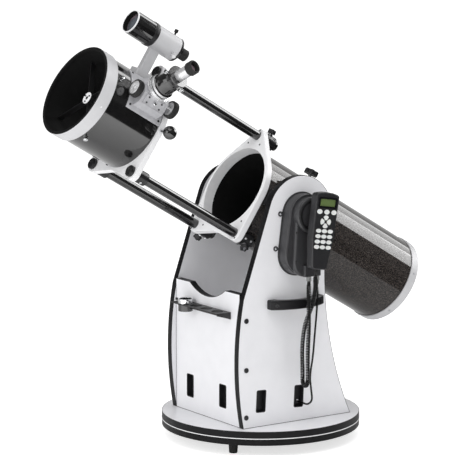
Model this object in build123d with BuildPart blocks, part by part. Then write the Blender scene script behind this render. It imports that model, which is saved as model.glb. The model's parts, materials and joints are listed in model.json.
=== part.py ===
from build123d import *
from math import atan2, cos, degrees, pi, radians, sin, sqrt, tan
import os

# Collapsible truss-tube Dobsonian telescope with motor drives on both axes.
# Millimetres, +Z up. The origin is on the azimuth axis, at floor level. The tube points
# towards -Y, and +X is the altitude axis, towards the side panel that carries the drive.
# Along the tube, s is the distance from the altitude axis, positive towards the sky.
# Across it, u runs along +X and v is square to both, upwards.

# Driving dimensions: the base
BASE_R = 257.0
BOARD = 17.0
BAND = 1.2
FOOT_HEIGHT = 30.0
FOOT_R = 12.5
FOOT_CIRCLE_R = 215.0
FOOT_ANGLE = 66.5
TURN_GAP = 1.5
SIDE_X = 162.8
FRONT_Y = -166.0
REAR_Y = 169.0
SHOULDER_Z = 407.0
SCALLOP_HALF = 81.0
SCALLOP_DEPTH = 26.0
SLOT_R = 5.0

# Driving dimensions: the altitude axis and the tube
PIVOT_Y, PIVOT_Z = 8.0, 601.0
REST_ALTITUDE = 30.2
TUBE_R = 115.0
TUBE_WALL = 1.5
POLE_R = 12.5
POLE_CIRCLE_R = 147.0
POLE_ANGLES = (90.0, -52.7, -127.3)
LOBE_R = 20.0
RING_R = 120.0
OPENING_R = 110.5
LOWER_REAR_S, LOWER_FRONT_S = -441.0, 107.0
UPPER_REAR_S, UPPER_FRONT_S = 442.0, 646.0
FOCUSER_S, FOCUSER_ANGLE = 512.0, 33.0
FINDER_S, FINDER_ANGLE, FINDER_RHO = 504.0, 85.0, 216.5
SHAFT_CLEARANCE = 0.06

GROUND_TOP = FOOT_HEIGHT + BOARD
TURN_BOTTOM = GROUND_TOP + TURN_GAP
TURN_TOP = TURN_BOTTOM + BOARD + 0.5
INNER_X = SIDE_X - BOARD

TUBE = Plane(
    origin=(0, PIVOT_Y, PIVOT_Z),
    x_dir=(1, 0, 0),
    z_dir=(0, -cos(radians(REST_ALTITUDE)), sin(radians(REST_ALTITUDE))),
)
TUBE_AXIS = Axis(TUBE.origin, TUBE.z_dir)
# Half sections of turned pieces: local x is the radius, local y is s
SECTION = Plane(origin=TUBE.origin, x_dir=TUBE.x_dir, z_dir=TUBE.x_dir.cross(TUBE.z_dir))


def radial(s, angle, rho=0.0):
    """Plane square to the tube's radius at an angle from +X, with local x along the tube."""
    outward = TUBE.x_dir * cos(radians(angle)) + TUBE.y_dir * sin(radians(angle))
    return Plane(TUBE.origin + TUBE.z_dir * s + outward * rho, x_dir=TUBE.z_dir, z_dir=outward)


def polar(rho, angle):
    """Point on a circle, as plane coordinates."""
    return (rho * cos(radians(angle)), rho * sin(radians(angle)))


def save(sub_part, name):
    """Label a finished sub-part and write its STEP file."""
    sub_part.part.label = name
    export_step(sub_part.part, f"parts/{name}.step")


os.makedirs("parts", exist_ok=True)
POLE_POINTS = [polar(POLE_CIRCLE_R, angle) for angle in POLE_ANGLES]

# ---------------------------------------------------------------- ground body

BOLT_R = 5.0
HUB_R = 22.0
HUB_TOP = 79.0

with BuildPart() as ground_board:
    with BuildSketch(Plane.XY.offset(FOOT_HEIGHT)):
        Circle(BASE_R)
        Circle(BOLT_R, mode=Mode.SUBTRACT)
    extrude(amount=BOARD)
    fillet(ground_board.edges().filter_by(GeomType.CIRCLE).sort_by(SortBy.RADIUS)[-2:], 1.5)
save(ground_board, "ground_board")

with BuildPart() as feet:
    with BuildSketch():
        with PolarLocations(FOOT_CIRCLE_R, 3, start_angle=FOOT_ANGLE):
            Circle(FOOT_R - 2)
    extrude(amount=FOOT_HEIGHT, taper=-4)
    fillet(feet.edges().group_by(Axis.Z)[0], 1.5)
save(feet, "feet")

with BuildPart() as azimuth_pivot_bolt:
    with BuildSketch(Plane.XY.offset(FOOT_HEIGHT - 6.4)):
        RegularPolygon(9.8, 6)
    extrude(amount=6.4)
    with BuildSketch(Plane.XY.offset(FOOT_HEIGHT)):
        Circle(BOLT_R)
    extrude(amount=HUB_TOP + 14 - FOOT_HEIGHT)
    with BuildSketch(Plane.XY.offset(HUB_TOP)):
        Circle(13)
    extrude(amount=2)
    with BuildSketch(Plane.XY.offset(HUB_TOP + 2)):
        RegularPolygon(9.8, 6)
    extrude(amount=8)
save(azimuth_pivot_bolt, "azimuth_pivot_bolt")

GEAR_MODULE = 1.5
GEAR_TEETH, PINION_TEETH = 56, 14
PINION_X = -GEAR_MODULE * (GEAR_TEETH + PINION_TEETH) / 2
ROOT_HALF, TIP_HALF = 1.25, 0.55


def tooth_points(pitch_r):
    """Corners of one tooth on the +X side of a spur gear."""
    root, tip = pitch_r - 1.2 * GEAR_MODULE - 0.3, pitch_r + 0.85 * GEAR_MODULE
    return [(root, -ROOT_HALF), (tip, -TIP_HALF), (tip, TIP_HALF), (root, ROOT_HALF)]


with BuildPart() as azimuth_gear:
    pitch_r = GEAR_MODULE * GEAR_TEETH / 2
    with BuildSketch(Plane.XY.offset(GROUND_TOP)):
        Circle(60)
    extrude(amount=TURN_GAP - 0.1)
    with BuildSketch(Plane.XY.offset(GROUND_TOP)):
        Circle(HUB_R)
    extrude(amount=HUB_TOP - GROUND_TOP)
    with BuildSketch(Plane.XY.offset(68.5)):
        Circle(pitch_r - 1.2 * GEAR_MODULE)
        with PolarLocations(0, GEAR_TEETH, start_angle=180 + 180 / GEAR_TEETH):
            Polygon(*tooth_points(pitch_r), align=None)
    extrude(amount=8)
    with BuildSketch(Plane.XY.offset(GROUND_TOP)):
        Circle(BOLT_R)
    extrude(amount=HUB_TOP - GROUND_TOP, mode=Mode.SUBTRACT)
save(azimuth_gear, "azimuth_gear")

with BuildPart() as azimuth_pinion:
    pitch_r = GEAR_MODULE * PINION_TEETH / 2
    with BuildSketch(Plane((PINION_X, 0, 67.5))):
        Circle(pitch_r - 1.2 * GEAR_MODULE)
        with PolarLocations(0, PINION_TEETH):
            Polygon(*tooth_points(pitch_r), align=None)
    extrude(amount=10)
    with BuildSketch(Plane((PINION_X, 0, 77.5))):
        Circle(3)
    extrude(amount=12)
save(azimuth_pinion, "azimuth_pinion")

# ---------------------------------------------------------------- rocker box

with BuildPart() as turntable_board:
    with BuildSketch(Plane.XY.offset(TURN_BOTTOM)):
        Circle(BASE_R - BAND)
        Circle(HUB_R + SHAFT_CLEARANCE, mode=Mode.SUBTRACT)
    extrude(amount=TURN_TOP - TURN_BOTTOM)
save(turntable_board, "turntable_board")

SIDE_TOP_R = 98.0
SIDE_VIEW = Plane(origin=(0, 0, 0), x_dir=(0, 1, 0), z_dir=(1, 0, 0))
# The straight leading edge runs tangent to the round top
LEAD_CORNER = (FRONT_Y, 395.0)
TOP_CENTRE = (PIVOT_Y, PIVOT_Z - 3)
TO_CENTRE = (TOP_CENTRE[0] - LEAD_CORNER[0], TOP_CENTRE[1] - LEAD_CORNER[1])
TANGENT_RUN = sqrt(TO_CENTRE[0] ** 2 + TO_CENTRE[1] ** 2 - SIDE_TOP_R**2)
TANGENT_ANGLE = degrees(atan2(TO_CENTRE[1], TO_CENTRE[0]) + atan2(SIDE_TOP_R, TANGENT_RUN))
TOP_START = (
    TOP_CENTRE[0] - SIDE_TOP_R * sin(radians(TANGENT_ANGLE)),
    TOP_CENTRE[1] + SIDE_TOP_R * cos(radians(TANGENT_ANGLE)),
)
TOP_END = (TOP_CENTRE[0] + SIDE_TOP_R * cos(radians(12)), TOP_CENTRE[1] - SIDE_TOP_R * sin(radians(12)))

with BuildSketch(mode=Mode.PRIVATE) as side_outline:
    with BuildLine():
        foot = Line((REAR_Y, TURN_TOP), (FRONT_Y, TURN_TOP))
        ThreePointArc(foot @ 1, (-182, 231), LEAD_CORNER)
        Line(LEAD_CORNER, TOP_START)
        ThreePointArc(TOP_START, (TOP_CENTRE[0], TOP_CENTRE[1] + SIDE_TOP_R), TOP_END)
        neck = ThreePointArc(TOP_END, (90, 515), (84.5, 440))
        ThreePointArc(neck @ 1, (108, 245), foot @ 0)
    make_face()

with BuildSketch(mode=Mode.PRIVATE) as front_outline:
    with BuildLine():
        Polyline(
            (-SCALLOP_HALF, SHOULDER_Z), (-INNER_X, SHOULDER_Z), (-INNER_X, TURN_TOP),
            (INNER_X, TURN_TOP), (INNER_X, SHOULDER_Z), (SCALLOP_HALF, SHOULDER_Z),
        )
        ThreePointArc(
            (SCALLOP_HALF, SHOULDER_Z), (0, SHOULDER_Z - SCALLOP_DEPTH), (-SCALLOP_HALF, SHOULDER_Z)
        )
    make_face()

# The boards stop short of those outlines by the thickness of their edge bands
with BuildSketch(mode=Mode.PRIVATE) as side_board:
    offset(side_outline.sketch, amount=-BAND, kind=Kind.INTERSECTION)

with BuildSketch(mode=Mode.PRIVATE) as front_board:
    offset(front_outline.sketch, amount=-BAND, kind=Kind.INTERSECTION)

# Recessed slots: centre along the panel and above the floor, width, height, and lean
SIDE_SLOTS = [(-112.0, 131.0, 30.0, 58.0, -3.0), (5.0, 130.0, 30.0, 58.0, -3.0)]
FRONT_SLOTS = [(-80.0, 134.0, 33.0, 61.0, 0.0), (70.0, 134.0, 33.0, 61.0, 0.0)]
BEARING_R = 20.0
BOLT_HEIGHTS = (94.0, 215.5, 341.0)


def side_panel(side):
    """One side panel: +1 is the drive side, -1 the other."""
    with BuildPart() as panel:
        with BuildSketch(SIDE_VIEW.offset(INNER_X)):
            add(side_board.sketch)
            for along, above, width, height, lean in SIDE_SLOTS:
                with Locations((along, above)):
                    RectangleRounded(width, height, SLOT_R, rotation=lean, mode=Mode.SUBTRACT)
            with Locations((PIVOT_Y, PIVOT_Z)):
                Circle(BEARING_R + SHAFT_CLEARANCE, mode=Mode.SUBTRACT)
        extrude(amount=BOARD)
        if side < 0:
            mirror(about=Plane.YZ, mode=Mode.REPLACE)
    return panel


save(side_panel(1), "right_side_panel")
save(side_panel(-1), "left_side_panel")

with BuildPart() as front_panel:
    with BuildSketch(Plane.XZ.offset(-FRONT_Y - BOARD)):
        add(front_board.sketch)
        for along, above, width, height, lean in FRONT_SLOTS:
            with Locations((along, above)):
                RectangleRounded(width, height, SLOT_R, rotation=lean, mode=Mode.SUBTRACT)
    extrude(amount=BOARD)
save(front_panel, "front_panel")

with BuildPart() as rocker_edge_bands:
    with BuildSketch(Plane.XY.offset(TURN_BOTTOM)):
        Circle(BASE_R)
        Circle(BASE_R - BAND, mode=Mode.SUBTRACT)
    extrude(amount=TURN_TOP - TURN_BOTTOM)
    for inner_face in (INNER_X, -SIDE_X):
        with BuildSketch(SIDE_VIEW.offset(inner_face)):
            add(side_outline.sketch)
            add(side_board.sketch, mode=Mode.SUBTRACT)
        extrude(amount=BOARD)
    with BuildSketch(Plane.XZ.offset(-FRONT_Y - BOARD)):
        add(front_outline.sketch)
        add(front_board.sketch, mode=Mode.SUBTRACT)
    extrude(amount=BOARD)
save(rocker_edge_bands, "rocker_edge_bands")

CUP_WALL = 1.5
CUP_DEPTH = 16.0
CABLE_HOLE_R = 4.0
CABLE_HOLE = (11.0, 114.0)

SLOTTED_FACES = ((SIDE_VIEW.offset(SIDE_X), SIDE_SLOTS), (Plane.XZ.offset(-FRONT_Y), FRONT_SLOTS))

with BuildPart() as slot_liners:
    for outer_face, slots in SLOTTED_FACES:
        for along, above, width, height, lean in slots:
            for wall, mode in ((0, Mode.ADD), (CUP_WALL, Mode.SUBTRACT)):
                with BuildSketch(outer_face):
                    with Locations((along, above)):
                        RectangleRounded(width - 2 * wall, height - 2 * wall, SLOT_R - wall, rotation=lean)
                extrude(amount=wall - CUP_DEPTH, mode=mode)
    with BuildPart(mode=Mode.PRIVATE) as side_cups:
        add(slot_liners.part.solids().filter_by_position(Axis.X, 140, 200))
    mirror(side_cups.part, about=Plane.YZ)
    with BuildSketch(SIDE_VIEW.offset(SIDE_X - CUP_DEPTH - 1)):
        with Locations(CABLE_HOLE):
            Circle(CABLE_HOLE_R)
    extrude(amount=CUP_WALL + 2, mode=Mode.SUBTRACT)
save(slot_liners, "slot_liners")

with BuildPart() as panel_bolt_caps:
    for face, way in ((SIDE_X, 1), (-SIDE_X, -1)):
        with BuildSketch(SIDE_VIEW.offset(face)):
            for height in BOLT_HEIGHTS:
                with Locations((FRONT_Y + BOARD / 2, height)):
                    Circle(6.5)
        extrude(amount=2.5 * way)
    fillet(panel_bolt_caps.edges().group_by(Axis.X)[0], 1.5)
    fillet(panel_bolt_caps.edges().group_by(Axis.X)[-1], 1.5)
save(panel_bolt_caps, "panel_bolt_caps")

HANDLE_Z, HANDLE_H = 376.0, 24.0
HANDLE_FRONT, HANDLE_REAR = -94.0, 70.0
HANDLE_MID = (HANDLE_FRONT + HANDLE_REAR) / 2

with BuildPart() as carry_handles:
    with BuildSketch(Plane.XY.offset(HANDLE_Z - HANDLE_H / 2)):
        with BuildLine():
            Polyline(
                (179, HANDLE_FRONT), (SIDE_X, HANDLE_FRONT),
                (SIDE_X, HANDLE_FRONT + 26), (170, HANDLE_FRONT + 28),
            )
            ThreePointArc((170, HANDLE_FRONT + 28), (187, HANDLE_MID), (170, HANDLE_REAR - 28))
            Polyline(
                (170, HANDLE_REAR - 28), (SIDE_X, HANDLE_REAR - 26),
                (SIDE_X, HANDLE_REAR), (179, HANDLE_REAR),
            )
            ThreePointArc((179, HANDLE_REAR), (204, HANDLE_MID), (179, HANDLE_FRONT))
        make_face()
    extrude(amount=HANDLE_H)
    long_edges = carry_handles.edges().filter_by(Axis.Z, reverse=True)
    fillet(long_edges.filter_by(lambda edge: edge.center().X > SIDE_X + 1), 3.5)
    mirror(about=Plane.YZ)
save(carry_handles, "carry_handles")

TRAY_Z, TRAY_THICK, TRAY_DEPTH = 353.0, 3.0, 42.0
TRAY_LEFT, TRAY_RIGHT = -107.0, 107.0
SMALL_HOLE_R = 16.0
SMALL_HOLES = [(along, FRONT_Y - TRAY_DEPTH / 2) for along in (-21.0, 28.0, 77.0)]
HOLDER_R = 19.0
HOLDER = (-65.0, FRONT_Y - 24.0)
HOLDER_Z, HOLDER_H = 336.0, 31.0

with BuildPart() as accessory_tray:
    tray_mid = (TRAY_LEFT + TRAY_RIGHT) / 2
    with BuildSketch(Plane.XY.offset(TRAY_Z)):
        with Locations((tray_mid, FRONT_Y - TRAY_DEPTH / 2)):
            Rectangle(TRAY_RIGHT - TRAY_LEFT, TRAY_DEPTH)
        with Locations(HOLDER):
            Circle(HOLDER_R + 2)
        with Locations(*SMALL_HOLES):
            Circle(SMALL_HOLE_R, mode=Mode.SUBTRACT)
    extrude(amount=TRAY_THICK)
    with BuildSketch(Plane.XZ.offset(-FRONT_Y)):
        with Locations((tray_mid, TRAY_Z - 6)):
            Rectangle(TRAY_RIGHT - TRAY_LEFT, 18)
    extrude(amount=2.5)
    with BuildSketch(SIDE_VIEW.offset(TRAY_RIGHT - 2)):
        Polygon(
            (FRONT_Y, TRAY_Z - 15), (FRONT_Y, TRAY_Z + 1), (FRONT_Y - TRAY_DEPTH, TRAY_Z + 1),
            (FRONT_Y - TRAY_DEPTH, TRAY_Z - 3), align=None,
        )
    extrude(amount=2)
    for radius, mode in ((HOLDER_R, Mode.ADD), (SMALL_HOLE_R, Mode.SUBTRACT)):
        with BuildSketch(Plane.XY.offset(HOLDER_Z)):
            with Locations(HOLDER):
                Circle(radius)
        extrude(amount=HOLDER_H, mode=mode)
save(accessory_tray, "accessory_tray")

# ---------------------------------------------------------------- altitude drive

DRIVE_LEAN = 7.4
DRIVE_R, DRIVE_RISE, DRIVE_DROP = 55.0, 3.5, 101.5
DRIVE = Plane(
    origin=(SIDE_X, PIVOT_Y, PIVOT_Z),
    x_dir=(0, cos(radians(DRIVE_LEAN)), -sin(radians(DRIVE_LEAN))),
    z_dir=(1, 0, 0),
)
BASE_DEPTH, COVER_DEPTH, BOSS_DEPTH = 27.0, 42.0, 52.0
DRIVE_WALL = 3.0
ALT_SHAFT_R = 12.0
LUG_POINTS = [(-63, -6), (-66, -94), (63, -6), (66, -94)]
COVER_LOW = (2.0, -122.0)

with BuildPart() as altitude_drive_base:
    with BuildSketch(DRIVE):
        with Locations((0, -DRIVE_RISE), (0, -DRIVE_DROP)):
            Circle(DRIVE_R + 2.5)
        make_hull()
        with Locations(*LUG_POINTS):
            Circle(6.5)
    extrude(amount=DRIVE_WALL)
    with BuildSketch(DRIVE.offset(DRIVE_WALL)):
        with Locations((0, -DRIVE_RISE), (0, -DRIVE_DROP)):
            Circle(DRIVE_R)
        make_hull()
    extrude(amount=BASE_DEPTH - DRIVE_WALL, taper=9)
    fillet(altitude_drive_base.faces().filter_by(Axis.X).sort_by(Axis.X)[-1].edges(), 5)
    with BuildSketch(DRIVE.offset(DRIVE_WALL)):
        with Locations((0, -DRIVE_RISE), (0, -DRIVE_DROP)):
            Circle(DRIVE_R - 9)
        make_hull()
    extrude(amount=BASE_DEPTH, mode=Mode.SUBTRACT)
    with BuildSketch(DRIVE.offset(-BOARD)):
        Circle(BEARING_R)
    extrude(amount=BOARD + 5)
    with BuildSketch(DRIVE.offset(-BOARD)):
        Circle(ALT_SHAFT_R + SHAFT_CLEARANCE)
    extrude(amount=BOARD + 10, mode=Mode.SUBTRACT)
save(altitude_drive_base, "altitude_drive_base")

SOCKET_Y, SOCKET_W, SOCKET_D = 10.0, 50.0, 10.0
SOCKET_LOW, SOCKET_HIGH = 446.0, 474.0

with BuildPart() as altitude_drive_cover:
    with BuildSketch(DRIVE.offset(BASE_DEPTH)):
        Circle(41)
        with Locations(COVER_LOW):
            Circle(35)
        make_hull()
    extrude(amount=COVER_DEPTH - BASE_DEPTH)
    fillet(altitude_drive_cover.faces().sort_by(Axis.X)[-1].edges(), 6)
    with BuildSketch(DRIVE.offset(BASE_DEPTH)):
        Circle(DRIVE_R - 5)
        with Locations((0, -DRIVE_DROP)):
            Circle(DRIVE_R - 5)
        make_hull()
    extrude(amount=DRIVE_WALL)
    with BuildSketch(DRIVE.offset(BASE_DEPTH)):
        Circle(45)
    extrude(amount=BOSS_DEPTH - BASE_DEPTH)
    fillet(altitude_drive_cover.faces().sort_by(Axis.X)[-1].edges(), 5)
    with BuildSketch(DRIVE.offset(BASE_DEPTH)):
        Circle(37)
        with Locations(COVER_LOW):
            Circle(31)
        make_hull()
    extrude(amount=COVER_DEPTH - BASE_DEPTH - DRIVE_WALL, mode=Mode.SUBTRACT)
    with BuildSketch(Plane.XY.offset(SOCKET_LOW)):
        with Locations((SIDE_X + COVER_DEPTH + SOCKET_D / 2 - 2, SOCKET_Y)):
            RectangleRounded(SOCKET_D + 4, SOCKET_W, 3)
    extrude(amount=SOCKET_HIGH - SOCKET_LOW)
save(altitude_drive_cover, "altitude_drive_cover")

WHEEL_X, WHEEL_R, WHEEL_W, WHEEL_TEETH = 172.0, 40.0, 10.0, 60
WORM_R, WORM_GAP = 8.0, 0.4
WORM_DROP = WHEEL_R + WORM_R + WORM_GAP
SADDLE_X = 142.0

with BuildPart() as altitude_wheel:
    with BuildSketch(Plane((SADDLE_X, PIVOT_Y, PIVOT_Z), x_dir=(0, 1, 0), z_dir=(1, 0, 0))):
        Circle(ALT_SHAFT_R)
    extrude(amount=WHEEL_X + WHEEL_W + 4 - SADDLE_X)
    with BuildSketch(DRIVE.offset(WHEEL_X - SIDE_X)):
        Circle(WHEEL_R)
        with PolarLocations(WHEEL_R, WHEEL_TEETH):
            Circle(0.9, mode=Mode.SUBTRACT)
    extrude(amount=WHEEL_W)
save(altitude_wheel, "altitude_wheel")

WORM_PLANE = Plane(
    DRIVE.from_local_coords((0, -WORM_DROP, WHEEL_X + WHEEL_W / 2 - SIDE_X)),
    x_dir=DRIVE.y_dir,
    z_dir=DRIVE.x_dir,
)

with BuildPart() as altitude_worm:
    with BuildSketch(WORM_PLANE.offset(-15)):
        Circle(WORM_R)
    extrude(amount=30)
    groove_spots = [-12 + 4 * step for step in range(7)]
    for spot in groove_spots:
        with BuildSketch(WORM_PLANE.offset(spot - 0.8)):
            Circle(WORM_R + 1)
            Circle(WORM_R - 1.5, mode=Mode.SUBTRACT)
        extrude(amount=1.6, mode=Mode.SUBTRACT)
    with BuildSketch(WORM_PLANE.offset(-23)):
        Circle(3)
    extrude(amount=46)
save(altitude_worm, "altitude_worm")

with BuildPart() as altitude_motor:
    with BuildSketch(WORM_PLANE.offset(-23)):
        with Locations((-11, 0)):
            Rectangle(32, 13)
    extrude(amount=46)
    with BuildSketch(WORM_PLANE.offset(-16)):
        with Locations((-4, 0)):
            Rectangle(26, 20)
    extrude(amount=32, mode=Mode.SUBTRACT)
    motor_top = Plane(WORM_PLANE.origin - DRIVE.y_dir * 27, x_dir=(1, 0, 0), z_dir=DRIVE.y_dir * -1)
    with BuildSketch(motor_top):
        with Locations((2, 0)):
            Circle(12)
    extrude(amount=50)
    with BuildSketch(WORM_PLANE.offset(-23)):
        Circle(3.05)
    extrude(amount=46, mode=Mode.SUBTRACT)
save(altitude_motor, "altitude_motor")

# ---------------------------------------------------------------- azimuth drive

HOUSING_TOP = 112.0
HOUSING_WALL = 3.0
GLAND_X = 66.0
GLAND_Z = 86.0

with BuildPart() as azimuth_drive_housing:
    for shrink, mode in ((0, Mode.ADD), (HOUSING_WALL, Mode.SUBTRACT)):
        with BuildSketch(Plane.XY.offset(TURN_TOP)):
            Circle(56 - shrink)
            with Locations((PINION_X - 20, 0)):
                Circle(34 - shrink)
            make_hull()
        extrude(amount=HOUSING_TOP - shrink - TURN_TOP, mode=mode)
    fillet(azimuth_drive_housing.faces().sort_by(Axis.Z)[-1].edges(), 2.5)
    with BuildSketch(Plane((0, 0, GLAND_Z), x_dir=(0, 1, 0), z_dir=(1, 0, 0)).offset(53.5)):
        Circle(7)
    extrude(amount=GLAND_X - 53.5)
    with BuildSketch(Plane((PINION_X, 0, 80.5))):
        Circle(17)
        Circle(3.05, mode=Mode.SUBTRACT)
    extrude(amount=HOUSING_TOP - HOUSING_WALL - 80.5)
save(azimuth_drive_housing, "azimuth_drive_housing")

# ---------------------------------------------------------------- handset

HANDSET_LEAN = 8.7
HANDSET_BACK, HANDSET_SPLIT, HANDSET_FACE = 228.0, 240.0, 254.0
HANDSET = Plane(
    origin=(HANDSET_BACK, 15.0, 564.0),
    x_dir=(0, cos(radians(HANDSET_LEAN)), -sin(radians(HANDSET_LEAN))),
    z_dir=(1, 0, 0),
)
SHELL_WALL = 2.0
TOP_HALF, MID_HALF, TAIL_HALF = 35.0, 33.0, 22.0
TOP_Y, MID_Y, TAIL_Y = 92.0, -20.0, -96.0
SCREEN_W, SCREEN_H, SCREEN_Y = 48.0, 19.0, 72.0

with BuildSketch(mode=Mode.PRIVATE) as handset_outline:
    with BuildLine():
        Line((-TOP_HALF, TOP_Y), (-MID_HALF, MID_Y))
        Line((-MID_HALF, MID_Y), (-TAIL_HALF, TAIL_Y))
        Line((-TAIL_HALF, TAIL_Y), (TAIL_HALF, TAIL_Y))
        Line((TAIL_HALF, TAIL_Y), (MID_HALF, MID_Y))
        Line((MID_HALF, MID_Y), (TOP_HALF, TOP_Y))
        ThreePointArc((TOP_HALF, TOP_Y), (0, TOP_Y + 6), (-TOP_HALF, TOP_Y))
    make_face()
    fillet(handset_outline.vertices(), 8)

KEY_GAP = 0.35
NUMBER_ROWS = (1.0, -12.5, -26.0, -39.5)
NUMBER_COLUMNS = (-18.0, 0.0, 18.0)
NUMBER_KEY = (8.0, 5.0)
TOP_KEY = (7.8, 6.0)
TOP_KEY_Y = 49.0
PAD_Y = 24.5
NUMBER_POINTS = [(x, y) for y in NUMBER_ROWS for x in NUMBER_COLUMNS]
TOP_KEYS = {"key_back": -22.0, "key_enter": 0.0, "key_menu": 22.0}
PAD_KEYS = {"key_right": 0.0, "key_up": 90.0, "key_left": 180.0, "key_down": 270.0}
PAD_INNER, PAD_OUTER, PAD_HALF_ANGLE = 5.0, 14.2, 35.0


def pad_sector(angle, grow):
    """Points of one direction key, a blunt wedge round the pad's centre."""
    inner, outer = PAD_INNER - grow, PAD_OUTER + grow
    spread = PAD_HALF_ANGLE + 3 * grow
    return [
        polar(inner, angle - spread), polar(outer, angle - spread * 0.95),
        polar(outer + 1.6, angle - spread / 2), polar(outer + 2, angle),
        polar(outer + 1.6, angle + spread / 2), polar(outer, angle + spread * 0.95),
        polar(inner, angle + spread),
    ]


SHELL_SPANS = {
    "handset_rear_shell": (HANDSET_BACK, HANDSET_SPLIT),
    "handset_front_shell": (HANDSET_SPLIT, HANDSET_FACE),
}

for name, (near, far) in SHELL_SPANS.items():
    front = name == "handset_front_shell"
    depth = far - near
    shell_plane = HANDSET.offset(near - HANDSET_BACK)
    with BuildPart() as shell:
        with BuildSketch(shell_plane):
            add(handset_outline.sketch.face())
        extrude(amount=depth)
        outer_face = shell.faces().sort_by(Axis.X)[-1 if front else 0]
        fillet(outer_face.edges(), 3.5)
        with BuildSketch(shell_plane.offset(0 if front else SHELL_WALL)):
            add(handset_outline.sketch.face())
            offset(amount=-SHELL_WALL, mode=Mode.REPLACE)
        extrude(amount=depth - SHELL_WALL, mode=Mode.SUBTRACT)
        if front:
            with BuildSketch(shell_plane):
                with Locations((0, SCREEN_Y)):
                    Rectangle(SCREEN_W, SCREEN_H)
                with Locations(*NUMBER_POINTS):
                    Ellipse(NUMBER_KEY[0] + KEY_GAP, NUMBER_KEY[1] + KEY_GAP)
                with Locations(*[(x, TOP_KEY_Y) for x in TOP_KEYS.values()]):
                    Ellipse(TOP_KEY[0] + KEY_GAP, TOP_KEY[1] + KEY_GAP)
                for angle in PAD_KEYS.values():
                    with Locations((0, PAD_Y)):
                        Polygon(*pad_sector(angle, KEY_GAP), align=None)
            extrude(amount=depth + 1, mode=Mode.SUBTRACT)
    save(shell, name)

with BuildPart() as handset_screen:
    with BuildSketch(HANDSET.offset(HANDSET_FACE - HANDSET_BACK - 6)):
        with Locations((0, SCREEN_Y)):
            Rectangle(SCREEN_W, SCREEN_H)
    extrude(amount=4.8)
save(handset_screen, "handset_screen")

KEY_BOTTOM = HANDSET.offset(HANDSET_FACE - HANDSET_BACK - 5.5)
KEY_HEIGHT = 7.0

with BuildPart() as number_keys:
    with BuildSketch(KEY_BOTTOM):
        with Locations(*NUMBER_POINTS):
            Ellipse(*NUMBER_KEY)
    extrude(amount=KEY_HEIGHT)
    fillet(number_keys.edges().group_by(Axis.X)[-1], 0.8)
save(number_keys, "number_keys")

for name, across in TOP_KEYS.items():
    with BuildPart() as key:
        with BuildSketch(KEY_BOTTOM):
            with Locations((across, TOP_KEY_Y)):
                Ellipse(*TOP_KEY)
        extrude(amount=KEY_HEIGHT)
        fillet(key.edges().group_by(Axis.X)[-1], 0.8)
    save(key, name)

for name, angle in PAD_KEYS.items():
    with BuildPart() as key:
        with BuildSketch(KEY_BOTTOM):
            with Locations((0, PAD_Y)):
                Polygon(*pad_sector(angle, 0), align=None)
        extrude(amount=KEY_HEIGHT)
        fillet(key.edges().group_by(Axis.X)[-1], 0.8)
    save(key, name)

BOSS_FACE = SIDE_X + BOSS_DEPTH

with BuildPart() as handset_bracket:
    with BuildSketch(HANDSET.offset(-3)):
        with Locations((0, 22)):
            RectangleRounded(50, 62, 8)
    extrude(amount=3)
    with BuildSketch(HANDSET.offset(BOSS_FACE - HANDSET_BACK)):
        with Locations((0, 30)):
            RectangleRounded(26, 34, 5)
    extrude(amount=HANDSET_BACK - 3 - BOSS_FACE)
save(handset_bracket, "handset_bracket")

# ---------------------------------------------------------------- cords

CURLY_D = 12.0
CABLE_D = 5.0
TAIL = HANDSET.from_local_coords((0, TAIL_Y, 12))
TAIL_RUN = HANDSET.from_local_coords((0, TAIL_Y - 20, 12))
CURLY_ROUTE = [
    (209, 1, SOCKET_LOW), (209, 1, 428), (217, -5, 408), (224, -10, 372), (223, -8, 322),
    (222.5, -11, 262), (223.5, -11.5, 208), (223, -11, 168), (197, -8.5, 167),
    (197, -8, 205), (199, -12, 252), (202, -11, 294), (206, -6, 331), (215, 5, 365),
    (222, 9, 395), (233, 5, 425), (TAIL_RUN.X, TAIL_RUN.Y, TAIL_RUN.Z), (TAIL.X, TAIL.Y, TAIL.Z),
]
CABLE_ROUTE = [
    (208, 27, SOCKET_LOW), (208, 27, 426), (212, 27, 400), (215.5, 21, 350), (214.5, 16, 296),
    (213, 12.5, 240), (209.5, 5, 190), (211, 9, 152), (204, 18, 124), (186, 16, 110),
    (166, 12, 113), (144, 11, 114), (120, 7, 102), (96, 2, 89), (80, 0, GLAND_Z),
    (GLAND_X, 0, GLAND_Z),
]


def route_radii(points):
    """Arc radius at each corner of a cord's route: 0.45 of its shorter run."""
    corners = [Vector(*point) for point in points]
    radii = []
    for before, here, after in zip(corners, corners[1:], corners[2:]):
        turn = radians((here - before).get_angle(after - here))
        shorter = min((here - before).length, (after - here).length)
        radii.append(0.45 * shorter / tan(turn / 2))
    return radii


CORDS = {"handset_cord": (CURLY_ROUTE, CURLY_D), "azimuth_cable": (CABLE_ROUTE, CABLE_D)}

for name, (route, diameter) in CORDS.items():
    radii = route_radii(route)
    with BuildPart() as cord:
        with BuildLine() as path:
            FilletPolyline(*route, radius=radii)
        spine = path.wires()[0]
        with BuildSketch(Plane(spine @ 0, z_dir=spine % 0)):
            Circle(diameter / 2)
        sweep(path=spine)
    expected = spine.length * pi * diameter**2 / 4
    print(name, "length", round(spine.length, 1), "volume ratio", round(cord.part.volume / expected, 4))
    print(name, "radii", [round(radius, 1) for radius in radii])
    save(cord, name)

# ---------------------------------------------------------------- lower tube

SEAT_S = 95.0
FLANGE_S = 89.0

with BuildPart() as lower_tube:
    with BuildSketch(TUBE.offset(LOWER_REAR_S)):
        Circle(TUBE_R)
        Circle(TUBE_R - TUBE_WALL, mode=Mode.SUBTRACT)
    extrude(amount=SEAT_S - LOWER_REAR_S)
save(lower_tube, "lower_tube")

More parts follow.
